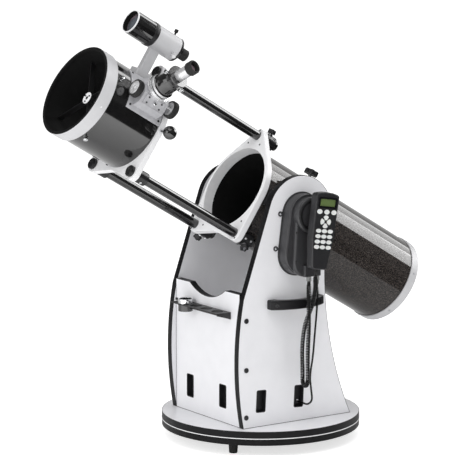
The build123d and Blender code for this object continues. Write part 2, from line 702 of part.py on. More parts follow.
with BuildPart() as lower_truss_ring:
    for point in POLE_POINTS:
        with BuildSketch(TUBE.offset(FLANGE_S)):
            Circle(RING_R)
            with Locations(point):
                Circle(LOBE_R)
            make_hull()
        extrude(amount=LOWER_FRONT_S - FLANGE_S)
    fillet(lower_truss_ring.faces().sort_by(TUBE_AXIS)[-1].edges(), 2)
    fillet(lower_truss_ring.faces().sort_by(TUBE_AXIS)[0].edges(), 2)
    with BuildSketch(TUBE.offset(FLANGE_S)):
        Circle(TUBE_R)
    extrude(amount=SEAT_S - FLANGE_S, mode=Mode.SUBTRACT)
    with BuildSketch(TUBE.offset(78)):
        Circle(TUBE_R - TUBE_WALL)
    extrude(amount=SEAT_S - 78)
    with BuildSketch(TUBE.offset(78)):
        Circle(OPENING_R)
        with Locations(*POLE_POINTS):
            Circle(POLE_R + SHAFT_CLEARANCE)
    extrude(amount=LOWER_FRONT_S - 78, mode=Mode.SUBTRACT)
save(lower_truss_ring, "lower_truss_ring")

END_S = LOWER_REAR_S - 24

with BuildPart() as rear_end_ring:
    with BuildSketch(TUBE.offset(END_S)):
        Circle(TUBE_R + 2.5)
        Circle(108, mode=Mode.SUBTRACT)
    extrude(amount=LOWER_REAR_S - END_S)
    fillet(rear_end_ring.edges().filter_by(GeomType.CIRCLE).sort_by(TUBE_AXIS)[0:1], 1)
    with BuildSketch(TUBE.offset(LOWER_REAR_S)):
        Circle(TUBE_R - TUBE_WALL)
        Circle(108, mode=Mode.SUBTRACT)
    extrude(amount=12)
save(rear_end_ring, "rear_end_ring")

MIRROR_R, MIRROR_BACK_S, MIRROR_THICK = 101.5, -439.0, 25.0
CURVATURE_R = 2400.0
MIRROR_SAG = CURVATURE_R - sqrt(CURVATURE_R**2 - MIRROR_R**2)
CELL_REAR_S = -462.0

with BuildPart() as mirror_cell:
    with BuildSketch(TUBE.offset(CELL_REAR_S)):
        Circle(108)
        Circle(90, mode=Mode.SUBTRACT)
        with PolarLocations(46, 3, start_angle=90):
            Rectangle(96, 22)
        Circle(26)
    extrude(amount=9)
    with BuildSketch(TUBE.offset(CELL_REAR_S + 9)):
        with PolarLocations(60, 3, start_angle=90):
            Circle(12)
    extrude(amount=MIRROR_BACK_S - CELL_REAR_S - 9)
    with BuildSketch(TUBE.offset(CELL_REAR_S - 18)):
        with PolarLocations(80, 3, start_angle=90):
            Circle(9)
    extrude(amount=12)
    with BuildSketch(TUBE.offset(CELL_REAR_S - 6)):
        with PolarLocations(80, 3, start_angle=90):
            Circle(3.5)
    extrude(amount=6)
save(mirror_cell, "mirror_cell")

with BuildPart() as primary_mirror:
    with BuildSketch(TUBE.offset(MIRROR_BACK_S)):
        Circle(MIRROR_R)
    extrude(amount=MIRROR_THICK)
    with Locations(TUBE.offset(MIRROR_BACK_S + MIRROR_THICK - MIRROR_SAG + CURVATURE_R).origin):
        Sphere(CURVATURE_R, mode=Mode.SUBTRACT)
save(primary_mirror, "primary_mirror")

BAR_HALF, BAR_LENGTH = 22.0, 170.0
BAR_OUT, CLAMP_HALF = 124.0, 36.0
KNOB_U, KNOB_STEM_R = 132.0, 4.0
KNOB_V, KNOB_H, KNOB_R = 104.0, 12.0, 19.0

with BuildPart() as altitude_saddle:
    with BuildSketch(TUBE.offset(-BAR_LENGTH / 2)):
        with Locations(((BAR_OUT + 100) / 2, 0)):
            Rectangle(BAR_OUT - 100, 2 * BAR_HALF)
        Circle(TUBE_R, mode=Mode.SUBTRACT)
    extrude(amount=BAR_LENGTH)
    with BuildSketch(TUBE.offset(-40)):
        with Locations(((BAR_OUT + SADDLE_X) / 2, 0)):
            Rectangle(SADDLE_X - BAR_OUT, 2 * CLAMP_HALF)
    extrude(amount=80)
    with BuildSketch(radial(0, 90, CLAMP_HALF - 15)):
        with Locations((0, KNOB_U)):
            Circle(KNOB_STEM_R + SHAFT_CLEARANCE)
    extrude(amount=16, mode=Mode.SUBTRACT)
save(altitude_saddle, "altitude_saddle")

with BuildPart() as saddle_knob:
    with BuildSketch(radial(0, 90, CLAMP_HALF - 15)):
        with Locations((0, KNOB_U)):
            Circle(KNOB_STEM_R)
    extrude(amount=KNOB_V - CLAMP_HALF + 15)
    with BuildSketch(radial(0, 90, KNOB_V)):
        with Locations((0, KNOB_U)):
            Circle(KNOB_R - 4)
            with PolarLocations(KNOB_R - 6, 6):
                Circle(6)
    extrude(amount=KNOB_H)
    fillet(saddle_knob.faces().sort_by(Axis(TUBE.origin, TUBE.y_dir))[-1].edges(), 2)
save(saddle_knob, "saddle_knob")

with BuildPart() as left_trunnion:
    with BuildSketch(TUBE.offset(-40)):
        with Locations((-(SADDLE_X + 100) / 2, 0)):
            Rectangle(SADDLE_X - 100, 2 * CLAMP_HALF)
        Circle(TUBE_R, mode=Mode.SUBTRACT)
    extrude(amount=80)
    left_pivot = Plane((-SADDLE_X, PIVOT_Y, PIVOT_Z), x_dir=(0, 1, 0), z_dir=(-1, 0, 0))
    with BuildSketch(left_pivot):
        Circle(BEARING_R)
    extrude(amount=SIDE_X + 0.5 - SADDLE_X)
    with BuildSketch(left_pivot.offset(SIDE_X + 0.5 - SADDLE_X)):
        Circle(32)
    extrude(amount=7)
    fillet(left_trunnion.faces().sort_by(Axis.X)[0].edges(), 2.5)
save(left_trunnion, "left_trunnion")

CLAMP_S, CLAMP_LENGTH = 57.0, 32.0
LOCK_RHO = POLE_CIRCLE_R + 18

with BuildPart() as pole_clamps:
    with BuildSketch(TUBE.offset(CLAMP_S)):
        with Locations(*POLE_POINTS):
            Circle(LOBE_R - 1)
            Circle(POLE_R + SHAFT_CLEARANCE, mode=Mode.SUBTRACT)
    extrude(amount=CLAMP_LENGTH)
    for angle in POLE_ANGLES:
        with BuildSketch(radial(CLAMP_S + CLAMP_LENGTH / 2, angle, POLE_CIRCLE_R + POLE_R + 1)):
            Circle(3 + SHAFT_CLEARANCE)
        extrude(amount=10, mode=Mode.SUBTRACT)
save(pole_clamps, "pole_clamps")

for number, angle in enumerate(POLE_ANGLES, start=1):
    lock_s = CLAMP_S + CLAMP_LENGTH / 2
    with BuildPart() as pole_lock_knob:
        with BuildSketch(radial(lock_s, angle, POLE_CIRCLE_R + POLE_R + 1.2)):
            Circle(3)
        extrude(amount=14)
        with BuildSketch(radial(lock_s, angle, LOCK_RHO + 5)):
            Circle(8.5)
            with PolarLocations(7.5, 5):
                Circle(3.5)
        extrude(amount=11)
        lock_axis = Axis(TUBE.origin, radial(lock_s, angle).z_dir)
        fillet(pole_lock_knob.faces().sort_by(lock_axis)[-1].edges(), 1.2)
    save(pole_lock_knob, f"pole_lock_knob_{number}")

# ---------------------------------------------------------------- upper cage

POLE_START_S = 45.0
RING_FRONT_S = UPPER_REAR_S + 15
SOCKET_LENGTH = 30.0

with BuildPart() as truss_poles:
    with BuildSketch(TUBE.offset(POLE_START_S)):
        with Locations(*POLE_POINTS):
            Circle(POLE_R)
            Circle(POLE_R - 2, mode=Mode.SUBTRACT)
    extrude(amount=RING_FRONT_S - POLE_START_S)
save(truss_poles, "truss_poles")

with BuildPart() as upper_truss_ring:
    for point in POLE_POINTS:
        with BuildSketch(TUBE.offset(UPPER_REAR_S)):
            Circle(RING_R)
            with Locations(point):
                Circle(LOBE_R)
            make_hull()
        extrude(amount=RING_FRONT_S - UPPER_REAR_S)
    with BuildSketch(TUBE.offset(UPPER_REAR_S)):
        Circle(TUBE_R)
        with Locations(*POLE_POINTS):
            Circle(POLE_R)
    extrude(amount=RING_FRONT_S - UPPER_REAR_S, mode=Mode.SUBTRACT)
save(upper_truss_ring, "upper_truss_ring")

BALL_RHO, BALL_R, BALL_S = 160.0, 17.0, 449.0

with BuildPart() as ring_fittings:
    with BuildSketch(TUBE.offset(UPPER_REAR_S - SOCKET_LENGTH)):
        with Locations(*POLE_POINTS):
            Circle(LOBE_R - 3)
            Circle(POLE_R, mode=Mode.SUBTRACT)
    extrude(amount=SOCKET_LENGTH)
    with BuildSketch(TUBE.offset(RING_FRONT_S)):
        with Locations(*POLE_POINTS):
            Circle(POLE_R + 2)
    extrude(amount=7)
    with BuildSketch(radial(BALL_S, 0, RING_R + 0.05)):
        Circle(5)
    extrude(amount=BALL_RHO - RING_R)
    with Locations(radial(BALL_S, 0, BALL_RHO).origin):
        Sphere(BALL_R)
save(ring_fittings, "ring_fittings")

with BuildPart() as upper_tube:
    with BuildSketch(TUBE.offset(UPPER_REAR_S)):
        Circle(TUBE_R)
        Circle(TUBE_R - TUBE_WALL, mode=Mode.SUBTRACT)
    extrude(amount=UPPER_FRONT_S - 6 - UPPER_REAR_S)
    with BuildSketch(radial(FOCUSER_S, FOCUSER_ANGLE, 100)):
        Circle(30)
    extrude(amount=20, mode=Mode.SUBTRACT)
save(upper_tube, "upper_tube")

with BuildPart() as front_ring:
    with BuildSketch(TUBE.offset(UPPER_FRONT_S - 34)):
        Circle(TUBE_R + 4)
        Circle(TUBE_R, mode=Mode.SUBTRACT)
    extrude(amount=28)
    with BuildSketch(TUBE.offset(UPPER_FRONT_S - 6)):
        Circle(TUBE_R + 4)
        Circle(OPENING_R + 0.5, mode=Mode.SUBTRACT)
    extrude(amount=6)
    fillet(front_ring.edges().filter_by(GeomType.CIRCLE).sort_by(TUBE_AXIS)[-2:], 1.5)
save(front_ring, "front_ring")

HUB_FRONT_S, VANE_S = 605.0, 589.0
MIRROR_45 = Plane(
    TUBE.origin + TUBE.z_dir * FOCUSER_S,
    z_dir=radial(0, FOCUSER_ANGLE).z_dir - TUBE.z_dir,
)
FLAT_THICK = 8.0

with BuildPart() as spider:
    with BuildSketch(TUBE.offset(FOCUSER_S - 30)):
        Circle(22)
    extrude(amount=83)
    split(bisect_by=MIRROR_45.offset(-FLAT_THICK), keep=Keep.BOTTOM)
    with BuildSketch(TUBE.offset(FOCUSER_S + 50)):
        Circle(8)
    extrude(amount=25)
    with BuildSketch(TUBE.offset(HUB_FRONT_S - 20)):
        Circle(16)
    extrude(amount=20)
    with BuildSketch(TUBE.offset(VANE_S)):
        with PolarLocations(64, 4, start_angle=FOCUSER_ANGLE):
            Rectangle(98.8, 1.2)
    extrude(amount=15)
    for turn in range(4):
        with BuildSketch(radial(598, FOCUSER_ANGLE + 90 * turn, TUBE_R + 0.2)):
            Circle(6)
        extrude(amount=8)
save(spider, "spider")

with BuildPart() as secondary_mirror:
    with BuildSketch(TUBE.offset(FOCUSER_S - 30)):
        Circle(23.5)
    extrude(amount=70)
    split(bisect_by=MIRROR_45, keep=Keep.BOTTOM)
    split(bisect_by=MIRROR_45.offset(-FLAT_THICK), keep=Keep.TOP)
save(secondary_mirror, "secondary_mirror")

# ---------------------------------------------------------------- focuser

FOCUS = radial(FOCUSER_S, FOCUSER_ANGLE)
FOCUS_AXIS = Axis(FOCUS.origin, FOCUS.z_dir)
DRAW_R, DRAW_FLAT = 27.25, 21.2
SHAFT_OFF, SHAFT_RHO, SHAFT_R = 24.5, 140.5, 3.0
BODY_TOP = 163.0
PLATE_HALF = 53.5
BLOCK_HALF, BLOCK_TOP = 38.0, 150.5
# The pinion block's end face: local x is across the focuser, local y is rho
BLOCK_SECTION = Plane(FOCUS.from_local_coords((-BLOCK_HALF, 0, 0)), x_dir=FOCUS.y_dir, z_dir=FOCUS.x_dir)
# Half section of turned pieces on the focuser's axis: local x is the radius, local y is rho
FOCUS_SECTION = Plane(FOCUS.origin, x_dir=FOCUS.x_dir, z_dir=FOCUS.x_dir.cross(FOCUS.z_dir))

with BuildPart() as focuser_body:
    with BuildSketch(TUBE.offset(FOCUSER_S - PLATE_HALF)):
        Circle(TUBE_R + 3)
        with Locations(polar(TUBE_R, FOCUSER_ANGLE)):
            Rectangle(80, 112, rotation=FOCUSER_ANGLE, mode=Mode.INTERSECT)
    extrude(amount=2 * PLATE_HALF)
    with BuildSketch(FOCUS.offset(100)):
        Circle(48)
    extrude(amount=56, taper=15)
    with BuildSketch(BLOCK_SECTION):
        Polygon(
            (2.5, 100), (46.5, 100), (46.5, BLOCK_TOP - 20), (26.5, BLOCK_TOP), (2.5, BLOCK_TOP), align=None
        )
    extrude(amount=2 * BLOCK_HALF)
    with BuildSketch(FOCUS.offset(BODY_TOP - 10)):
        Circle(34)
    extrude(amount=10)
    with BuildSketch(TUBE.offset(FOCUSER_S - 60)):
        Circle(TUBE_R)
    extrude(amount=120, mode=Mode.SUBTRACT)
    with BuildSketch(FOCUS.offset(90)):
        Circle(DRAW_R + SHAFT_CLEARANCE)
    extrude(amount=80, mode=Mode.SUBTRACT)
    with BuildSketch(TUBE.offset(FOCUSER_S - 60)):
        with Locations(TUBE.to_local_coords(FOCUS.from_local_coords((0, SHAFT_OFF, SHAFT_RHO)))):
            Circle(SHAFT_R + SHAFT_CLEARANCE)
    extrude(amount=120, mode=Mode.SUBTRACT)
save(focuser_body, "focuser_body")

with BuildPart() as focus_knobs:
    shaft_start = FOCUS.from_local_coords((-66, SHAFT_OFF, SHAFT_RHO))
    shaft_end = Plane(shaft_start, x_dir=TUBE.x_dir, z_dir=TUBE.z_dir)
    with BuildSketch(shaft_end):
        Circle(SHAFT_R)
    extrude(amount=132)
    for start in (2, 116):
        with BuildSketch(shaft_end.offset(start)):
            Circle(21.5)
        extrude(amount=14)
    fillet(focus_knobs.edges().filter_by(GeomType.CIRCLE).filter_by(lambda edge: edge.radius > 20), 1.5)
save(focus_knobs, "focus_knobs")

with BuildPart() as drawtube:
    with BuildSketch(FOCUS.offset(108)):
        Circle(DRAW_R)
        with Locations((0, DRAW_FLAT + 10)):
            Rectangle(60, 20, mode=Mode.SUBTRACT)
        Circle(DRAW_R - 7.5, mode=Mode.SUBTRACT)
    extrude(amount=BODY_TOP + 1 - 108)
save(drawtube, "drawtube")

ADAPTER_BORE = 14.6

with BuildPart() as eyepiece_adapter:
    with BuildSketch(FOCUS_SECTION):
        Polygon(
            (ADAPTER_BORE, 164), (31, 164), (31, 172), (28, 174), (27, 178), (26, 196), (24, 206),
            (24.5, 212), (28, 222), (28, 226), (ADAPTER_BORE, 226), align=None,
        )
    revolve(axis=FOCUS_AXIS)
save(eyepiece_adapter, "eyepiece_adapter")

with BuildPart() as eyepiece:
    with BuildSketch(FOCUS_SECTION):
        Polygon(
            (0, 186), (14.5, 186), (14.5, 262), (16, 262), (16, 281), (12.5, 281), (11, 270), (0, 270),
            align=None,
        )
    revolve(axis=FOCUS_AXIS)
save(eyepiece, "eyepiece")

# ---------------------------------------------------------------- finder

FINDER = radial(FINDER_S, FINDER_ANGLE)
FINDER_CENTRE = polar(FINDER_RHO, FINDER_ANGLE)
FINDER_AXIS = Axis(FINDER.origin + FINDER.z_dir * FINDER_RHO, TUBE.z_dir)
FINDER_SECTION = Plane(FINDER_AXIS.position - TUBE.z_dir * FINDER_S, x_dir=TUBE.x_dir, z_dir=SECTION.z_dir)
CRADLE_R = 31.0
BARREL_R = 28.0
DEW_SHIELD_R = 31.0
CRADLE_REAR_S, CRADLE_FRONT_S = 455.0, 527.0
SCREW_S = 468.0
SCREW_DIRECTIONS = (95.0, -35.0, 205.0)

with BuildPart() as finder_bracket:
    with BuildSketch(FINDER.offset(105)):
        RectangleRounded(50, 36, 4)
    extrude(amount=22)
    with BuildSketch(FINDER.offset(120)):
        RectangleRounded(29, 18, 4)
    extrude(amount=FINDER_RHO - 120)
    with BuildSketch(TUBE.offset(CRADLE_REAR_S)):
        with Locations(FINDER_CENTRE):
            Circle(CRADLE_R)
    extrude(amount=CRADLE_FRONT_S - CRADLE_REAR_S)
    for direction in SCREW_DIRECTIONS:
        outward = radial(SCREW_S, direction)
        seat = outward.origin + FINDER.z_dir * FINDER_RHO + outward.z_dir * (CRADLE_R - 2)
        with BuildSketch(Plane(seat, x_dir=outward.x_dir, z_dir=outward.z_dir)):
            Circle(2.5)
        extrude(amount=12)
        with BuildSketch(Plane(seat + outward.z_dir * 10, x_dir=outward.x_dir, z_dir=outward.z_dir)):
            Circle(5)
        extrude(amount=7)
    with BuildSketch(TUBE.offset(CRADLE_REAR_S)):
        with Locations(FINDER_CENTRE):
            Circle(BARREL_R)
    extrude(amount=CRADLE_FRONT_S - CRADLE_REAR_S, mode=Mode.SUBTRACT)
    with BuildSketch(TUBE.offset(FINDER_S - 40)):
        Circle(TUBE_R)
    extrude(amount=80, mode=Mode.SUBTRACT)
save(finder_bracket, "finder_bracket")

with BuildPart() as finder_tube:
    with BuildSketch(FINDER_SECTION):
        Polygon(
            (0, 417), (14, 417), (14, 440), (23, 444), (30, 448), (30, CRADLE_REAR_S),
            (BARREL_R, CRADLE_REAR_S), (BARREL_R, CRADLE_FRONT_S), (DEW_SHIELD_R, CRADLE_FRONT_S),
            (DEW_SHIELD_R, 600), (DEW_SHIELD_R - 3, 600), (DEW_SHIELD_R - 3, 586), (0, 588), align=None,
        )
    revolve(axis=FINDER_AXIS)
save(finder_tube, "finder_tube")
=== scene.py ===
"""Looks for the collapsible Dobsonian telescope: materials, small fittings, cords, light and camera."""

import json
from math import atan2, cos, degrees, hypot, pi, radians, sin

import bmesh
import bpy
from mathutils import Matrix, Vector


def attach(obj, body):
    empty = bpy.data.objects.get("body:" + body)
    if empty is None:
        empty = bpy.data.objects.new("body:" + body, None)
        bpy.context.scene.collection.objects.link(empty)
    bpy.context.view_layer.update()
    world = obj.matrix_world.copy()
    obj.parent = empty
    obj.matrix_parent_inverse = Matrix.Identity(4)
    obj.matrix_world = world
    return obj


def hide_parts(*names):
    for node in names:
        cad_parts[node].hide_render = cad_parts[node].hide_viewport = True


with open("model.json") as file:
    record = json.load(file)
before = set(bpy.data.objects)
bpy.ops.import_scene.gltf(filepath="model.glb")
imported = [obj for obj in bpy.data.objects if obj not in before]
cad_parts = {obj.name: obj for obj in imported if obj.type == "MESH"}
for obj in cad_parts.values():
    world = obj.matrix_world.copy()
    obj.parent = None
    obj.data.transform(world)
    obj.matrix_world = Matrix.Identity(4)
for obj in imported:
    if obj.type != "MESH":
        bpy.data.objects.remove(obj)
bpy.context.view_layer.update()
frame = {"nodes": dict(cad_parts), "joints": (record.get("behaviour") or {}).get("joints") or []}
nodes = frame["nodes"]
joints = {joint["name"]: joint for joint in frame["joints"]}
scene = bpy.context.scene

MM = 0.001

# ---------------------------------------------------------------- the tube's own directions

PIVOT = Vector(joints["altitude_tilt"]["pos_m"])
SKYWARD = -Vector(joints["cage_slide"]["axis"]).normalized()
RIGHT = Vector((1, 0, 0))
OVER = SKYWARD.cross(RIGHT)
FOCUS_DIR = Vector(joints["focus_travel"]["axis"]).normalized()
FOCUS_ANGLE = degrees(atan2(FOCUS_DIR.dot(OVER), FOCUS_DIR.dot(RIGHT)))
FOCUS_S = 512.0
FINDER_S, FINDER_ANGLE, FINDER_RHO = 504.0, 85.0, 216.5
POLE_ANGLES = (90.0, -52.7, -127.3)
POLE_RHO = 147.0
SIDE_X = 162.8
TUBE_INSIDE = 114.3


def outward(angle):
    """Direction square to the tube's axis, at an angle from +X towards the tube's upper side."""
    return RIGHT * cos(radians(angle)) + OVER * sin(radians(angle))


def on_tube(s, angle=0.0, rho=0.0):
    """Point in the tube's frame: s along it, rho out from it, in millimetres."""
    return PIVOT + (SKYWARD * s + outward(angle) * rho) * MM


def around(point):
    """(radius, angle, s) of a point about the tube's axis, in millimetres and degrees."""
    rel = (point - PIVOT) / MM
    u, v = rel.dot(RIGHT), rel.dot(OVER)
    return hypot(u, v), degrees(atan2(v, u)), rel.dot(SKYWARD)


def off_axis(point, origin, axis):
    """(height, radius) of a point about another axis, in millimetres."""
    rel = (point - origin) / MM
    height = rel.dot(axis)
    return height, (rel - axis * height).length


FINDER_ORIGIN = on_tube(0, FINDER_ANGLE, FINDER_RHO)
FOCUS_ORIGIN = on_tube(FOCUS_S)
FOCUS_SIDE = FOCUS_DIR.cross(SKYWARD)


def on_focuser(x, y, rho):
    """Point on the focuser: x along the tube, y round it, rho out from the tube's axis."""
    return FOCUS_ORIGIN + (SKYWARD * x + FOCUS_SIDE * y + FOCUS_DIR * rho) * MM


# ---------------------------------------------------------------- materials


class Graph:
    """A material's node tree, with the few steps that the finishes below share."""

    def __init__(self, name):
        self.material = bpy.data.materials.new(name)
        self.material.use_nodes = True
        self.tree = self.material.node_tree
        self.shader = self.tree.nodes["Principled BSDF"]
        self.place = self.tree.nodes.new("ShaderNodeTexCoord").outputs["Object"]

    def node(self, kind, **values):
        made = self.tree.nodes.new(kind)
        for key, value in values.items():
            setattr(made, key, value)
        return made

    def link(self, source, target):
        self.tree.links.new(source, target)

    def noise(self, scale, detail=3.0, stretch=None):
        made = self.node("ShaderNodeTexNoise")
        made.inputs["Scale"].default_value = scale
        made.inputs["Detail"].default_value = detail
        place = self.place
        if stretch:
            mapping = self.node("ShaderNodeMapping")
            mapping.inputs["Scale"].default_value = stretch
            self.link(place, mapping.inputs["Vector"])
            place = mapping.outputs["Vector"]
        self.link(place, made.inputs["Vector"])
        return made.outputs["Fac"]

    def spread(self, value, low, high, start=0.3, end=0.7):
        """Maps the middle of a noise onto a range."""
        made = self.node("ShaderNodeMapRange")
        made.inputs["From Min"].default_value = start
        made.inputs["From Max"].default_value = end
        made.inputs["To Min"].default_value = low
        made.inputs["To Max"].default_value = high
        self.link(value, made.inputs["Value"])
        return made.outputs["Result"]

    def mix(self, factor, first, second):
        made = self.node("ShaderNodeMix", data_type="RGBA")
        made.inputs["A"].default_value = (*first, 1)
        made.inputs["B"].default_value = (*second, 1)
        self.link(factor, made.inputs["Factor"])
        return made.outputs["Result"]

    def bump(self, height, strength, distance=0.0003):
        made = self.node("ShaderNodeBump")
        made.inputs["Strength"].default_value = strength
        made.inputs["Distance"].default_value = distance
        self.link(height, made.inputs["Height"])
        self.link(made.outputs["Normal"], self.shader.inputs["Normal"])

    def set(self, **values):
        for key, value in values.items():
            self.shader.inputs[key.replace("_", " ")].default_value = value


def finish(name, color, second=None, roughness=0.5, smudge=0.06, grain=0.15, grain_scale=1500.0,
           mottle_scale=40.0, stretch=None, metallic=0.0, **sockets):
    """A finish with a mottled colour, uneven gloss and a fine surface grain."""
    graph = Graph(name)
    second = second or tuple(0.86 * channel for channel in color)
    mottle = graph.spread(graph.noise(mottle_scale, 5.0, stretch), 0, 1)
    graph.link(graph.mix(mottle, color, second), graph.shader.inputs["Base Color"])
    cloud = graph.noise(mottle_scale * 0.6, 6.0, stretch)
    uneven = graph.spread(cloud, roughness - smudge, roughness + smudge)
    graph.link(uneven, graph.shader.inputs["Roughness"])
    graph.bump(graph.noise(grain_scale, 4.0, stretch), grain)
    graph.set(Metallic=metallic, **sockets)
    return graph.material


def flake_paint(name):
    """Gloss black with a fine bright flake under a clear coat."""
    graph = Graph(name)
    cells = graph.node("ShaderNodeTexVoronoi")
    cells.inputs["Scale"].default_value = 1500.0
    graph.link(graph.place, cells.inputs["Vector"])
    split = graph.node("ShaderNodeSeparateColor")
    graph.link(cells.outputs["Color"], split.inputs["Color"])
    flakes = graph.spread(split.outputs["Red"], 0, 1, 0.64, 1.0)
    tint = graph.mix(graph.noise(300.0), (0.25, 0.19, 0.15), (0.14, 0.143, 0.152))
    blend = graph.node("ShaderNodeMix", data_type="RGBA")
    blend.inputs["A"].default_value = (0.004, 0.004, 0.0045, 1)
    graph.link(tint, blend.inputs["B"])
    graph.link(flakes, blend.inputs["Factor"])
    graph.link(blend.outputs["Result"], graph.shader.inputs["Base Color"])
    graph.link(graph.spread(split.outputs["Green"], 0.3, 0.6, 0, 1), graph.shader.inputs["Roughness"])
    graph.set(Specular_IOR_Level=0.0, Coat_Weight=1.0, Coat_Roughness=0.015)
    return graph.material


def gloss_black(name):
    """Deep gloss black paint with a faint orange peel."""
    graph = Graph(name)
    graph.link(
        graph.mix(graph.noise(70.0), (0.006, 0.006, 0.007), (0.014, 0.0135, 0.013)),
        graph.shader.inputs["Base Color"],
    )
    graph.link(graph.spread(graph.noise(24.0, 5.0), 0.10, 0.17), graph.shader.inputs["Roughness"])
    graph.bump(graph.noise(420.0, 2.0), 0.02)
    graph.set(Coat_Weight=1.0, Coat_Roughness=0.02)
    return graph.material


def display_glass(name):
    """Green display behind a clear window, with faint rows of unlit dots."""
    graph = Graph(name)
    rows = graph.node("ShaderNodeTexWave", wave_type="BANDS", bands_direction="Z")
    rows.inputs["Scale"].default_value = 170.0
    graph.link(graph.place, rows.inputs["Vector"])
    dots = graph.spread(rows.outputs["Fac"], 0, 1, 0.2, 0.9)
    graph.link(graph.mix(dots, (0.105, 0.16, 0.045), (0.145, 0.21, 0.062)),
               graph.shader.inputs["Base Color"])
    graph.link(graph.spread(graph.noise(30.0), 0.30, 0.42), graph.shader.inputs["Roughness"])
    graph.set(Coat_Weight=1.0, Coat_Roughness=0.05)
    return graph.material


def polished(name, color, roughness=0.06):
    """Polished metal, a little uneven."""
    graph = Graph(name)
    graph.link(
        graph.mix(graph.noise(55.0), color, tuple(0.9 * channel for channel in color)),
        graph.shader.inputs["Base Color"],
    )
    graph.link(graph.spread(graph.noise(90.0, 5.0), roughness * 0.6, roughness * 1.6),
               graph.shader.inputs["Roughness"])
    graph.set(Metallic=1.0)
    return graph.material


def lens_with_painted_reflection(name):
    """Lens with grey and pale violet patches: partly the coating's own tint, and a painted reflection in the
    pale violet ones.
    """
    graph = Graph(name)
    patches = graph.spread(graph.noise(22.0, 1.0), 0, 1, 0.4, 0.6)
    graph.link(graph.mix(patches, (0.09, 0.10, 0.115), (0.32, 0.23, 0.27)),
               graph.shader.inputs["Base Color"])
    graph.link(graph.spread(graph.noise(60.0), 0.03, 0.06), graph.shader.inputs["Roughness"])
    graph.set(Coat_Weight=1.0, Coat_Roughness=0.02)
    return graph.material


def clear_plastic(name):
    """Cloudy clear moulding, as on a cable's plug."""
    graph = Graph(name)
    graph.link(graph.mix(graph.noise(200.0), (0.62, 0.63, 0.62), (0.40, 0.41, 0.40)),
               graph.shader.inputs["Base Color"])
    graph.link(graph.spread(graph.noise(120.0), 0.08, 0.2), graph.shader.inputs["Roughness"])
    graph.set(Transmission_Weight=0.55, Coat_Weight=0.6)
    return graph.material


LAMINATE = finish("laminate_white", (0.86, 0.86, 0.885), (0.83, 0.83, 0.855), roughness=0.36, smudge=0.05,
                  grain=0.05, grain_scale=2200.0, mottle_scale=25.0)
BANDING = finish("edge_band_charcoal", (0.006, 0.006, 0.007), roughness=0.42, grain=0.2, grain_scale=1800.0,
                 Specular_IOR_Level=0.25)
BLACK_BOARD = finish("board_black", (0.004, 0.004, 0.0045), roughness=0.4, grain=0.15, grain_scale=1500.0,
                     Specular_IOR_Level=0.25)
RUBBER = finish("rubber_black", (0.016, 0.016, 0.016), roughness=0.75, grain=0.3, grain_scale=1200.0)
PLASTIC = finish("moulded_black", (0.016, 0.016, 0.018), roughness=0.36, grain=0.35, grain_scale=2400.0)
HOUSING = finish("housing_black", (0.042, 0.042, 0.045), roughness=0.34, grain=0.3, grain_scale=2600.0)
GRIP = finish("grip_black", (0.007, 0.007, 0.008), roughness=0.36, grain=0.3, grain_scale=1600.0,
              Specular_IOR_Level=0.3)
HANDSET_SKIN = finish("handset_black", (0.022, 0.022, 0.024), roughness=0.34, grain=0.3, grain_scale=3000.0)
BEZEL = finish("bezel_black", (0.008, 0.008, 0.009), roughness=0.12, smudge=0.03, grain=0.02)
KEYCAP = finish("keycap_white", (0.82, 0.82, 0.80), roughness=0.45, smudge=0.04, grain=0.1,
                Subsurface_Weight=0.05)
POWDER = {"roughness": 0.34, "smudge": 0.05, "grain": 0.14, "grain_scale": 1300.0, "mottle_scale": 30.0}
POWDER_WHITE = finish("powder_white", (0.87, 0.87, 0.88), (0.84, 0.84, 0.855), **POWDER)
# Darker copy of the white powder paint, painted shade, on the front and rear end rings and the finder
# bracket.
POWDER_WHITE_PAINTED_SHADE = finish("powder_white_painted_shade", (0.63, 0.63, 0.645), (0.59, 0.59, 0.605), **POWDER)
# White focuser paint made mid grey, painted shade, on the focuser body and its cover plate.
CAST_WHITE_PAINTED_SHADE = finish("cast_white_painted_shade", (0.52, 0.52, 0.54), (0.43, 0.43, 0.45), roughness=0.36, smudge=0.07,
                    grain=0.2, grain_scale=1200.0, mottle_scale=60.0)
CAST_GREY = finish("cast_grey", (0.60, 0.60, 0.615), (0.55, 0.55, 0.565), roughness=0.42, smudge=0.05,
                   grain=0.25, grain_scale=1400.0, mottle_scale=50.0)
INNER_BLACK = finish("inside_flat_black", (0.005, 0.005, 0.005), roughness=0.85, smudge=0.08, grain=0.4,
                     grain_scale=700.0, Specular_IOR_Level=0.25)
ANODISED = finish("anodised_black", (0.013, 0.013, 0.014), roughness=0.3, smudge=0.05, grain=0.08,
                  grain_scale=2600.0)
SATIN_BLACK = finish("satin_black", (0.02, 0.02, 0.021), roughness=0.4, grain=0.2)
WIRE_BLACK = finish("cable_black", (0.005, 0.005, 0.005), roughness=0.26, grain=0.1, Specular_IOR_Level=0.35)
BRUSHED = finish("turned_aluminium", (0.78, 0.78, 0.79), (0.66, 0.66, 0.67), roughness=0.26, grain=0.08,
                 grain_scale=900.0, mottle_scale=160.0, metallic=0.5)
STEEL = finish("zinc_steel", (0.60, 0.61, 0.63), (0.48, 0.49, 0.50), roughness=0.32, smudge=0.08,
               grain=0.1, grain_scale=900.0, mottle_scale=120.0, metallic=1.0)
BRASS = finish("machined_brass", (0.72, 0.52, 0.24), (0.60, 0.42, 0.18), roughness=0.28, smudge=0.07,
               grain=0.1, grain_scale=900.0, mottle_scale=120.0, metallic=1.0)
FLAKE = flake_paint("flake_black")
GLOSS = gloss_black("gloss_black")
CHROME = polished("chrome", (0.80, 0.81, 0.82))
MIRROR = polished("mirror_coating", (0.93, 0.94, 0.94), 0.015)
# The lens's pale violet patches are a painted reflection, partly the coating's tint.
LENS = lens_with_painted_reflection("lens_painted_reflection")
DISPLAY = display_glass("display_green")
CLEAR = clear_plastic("plug_clear")


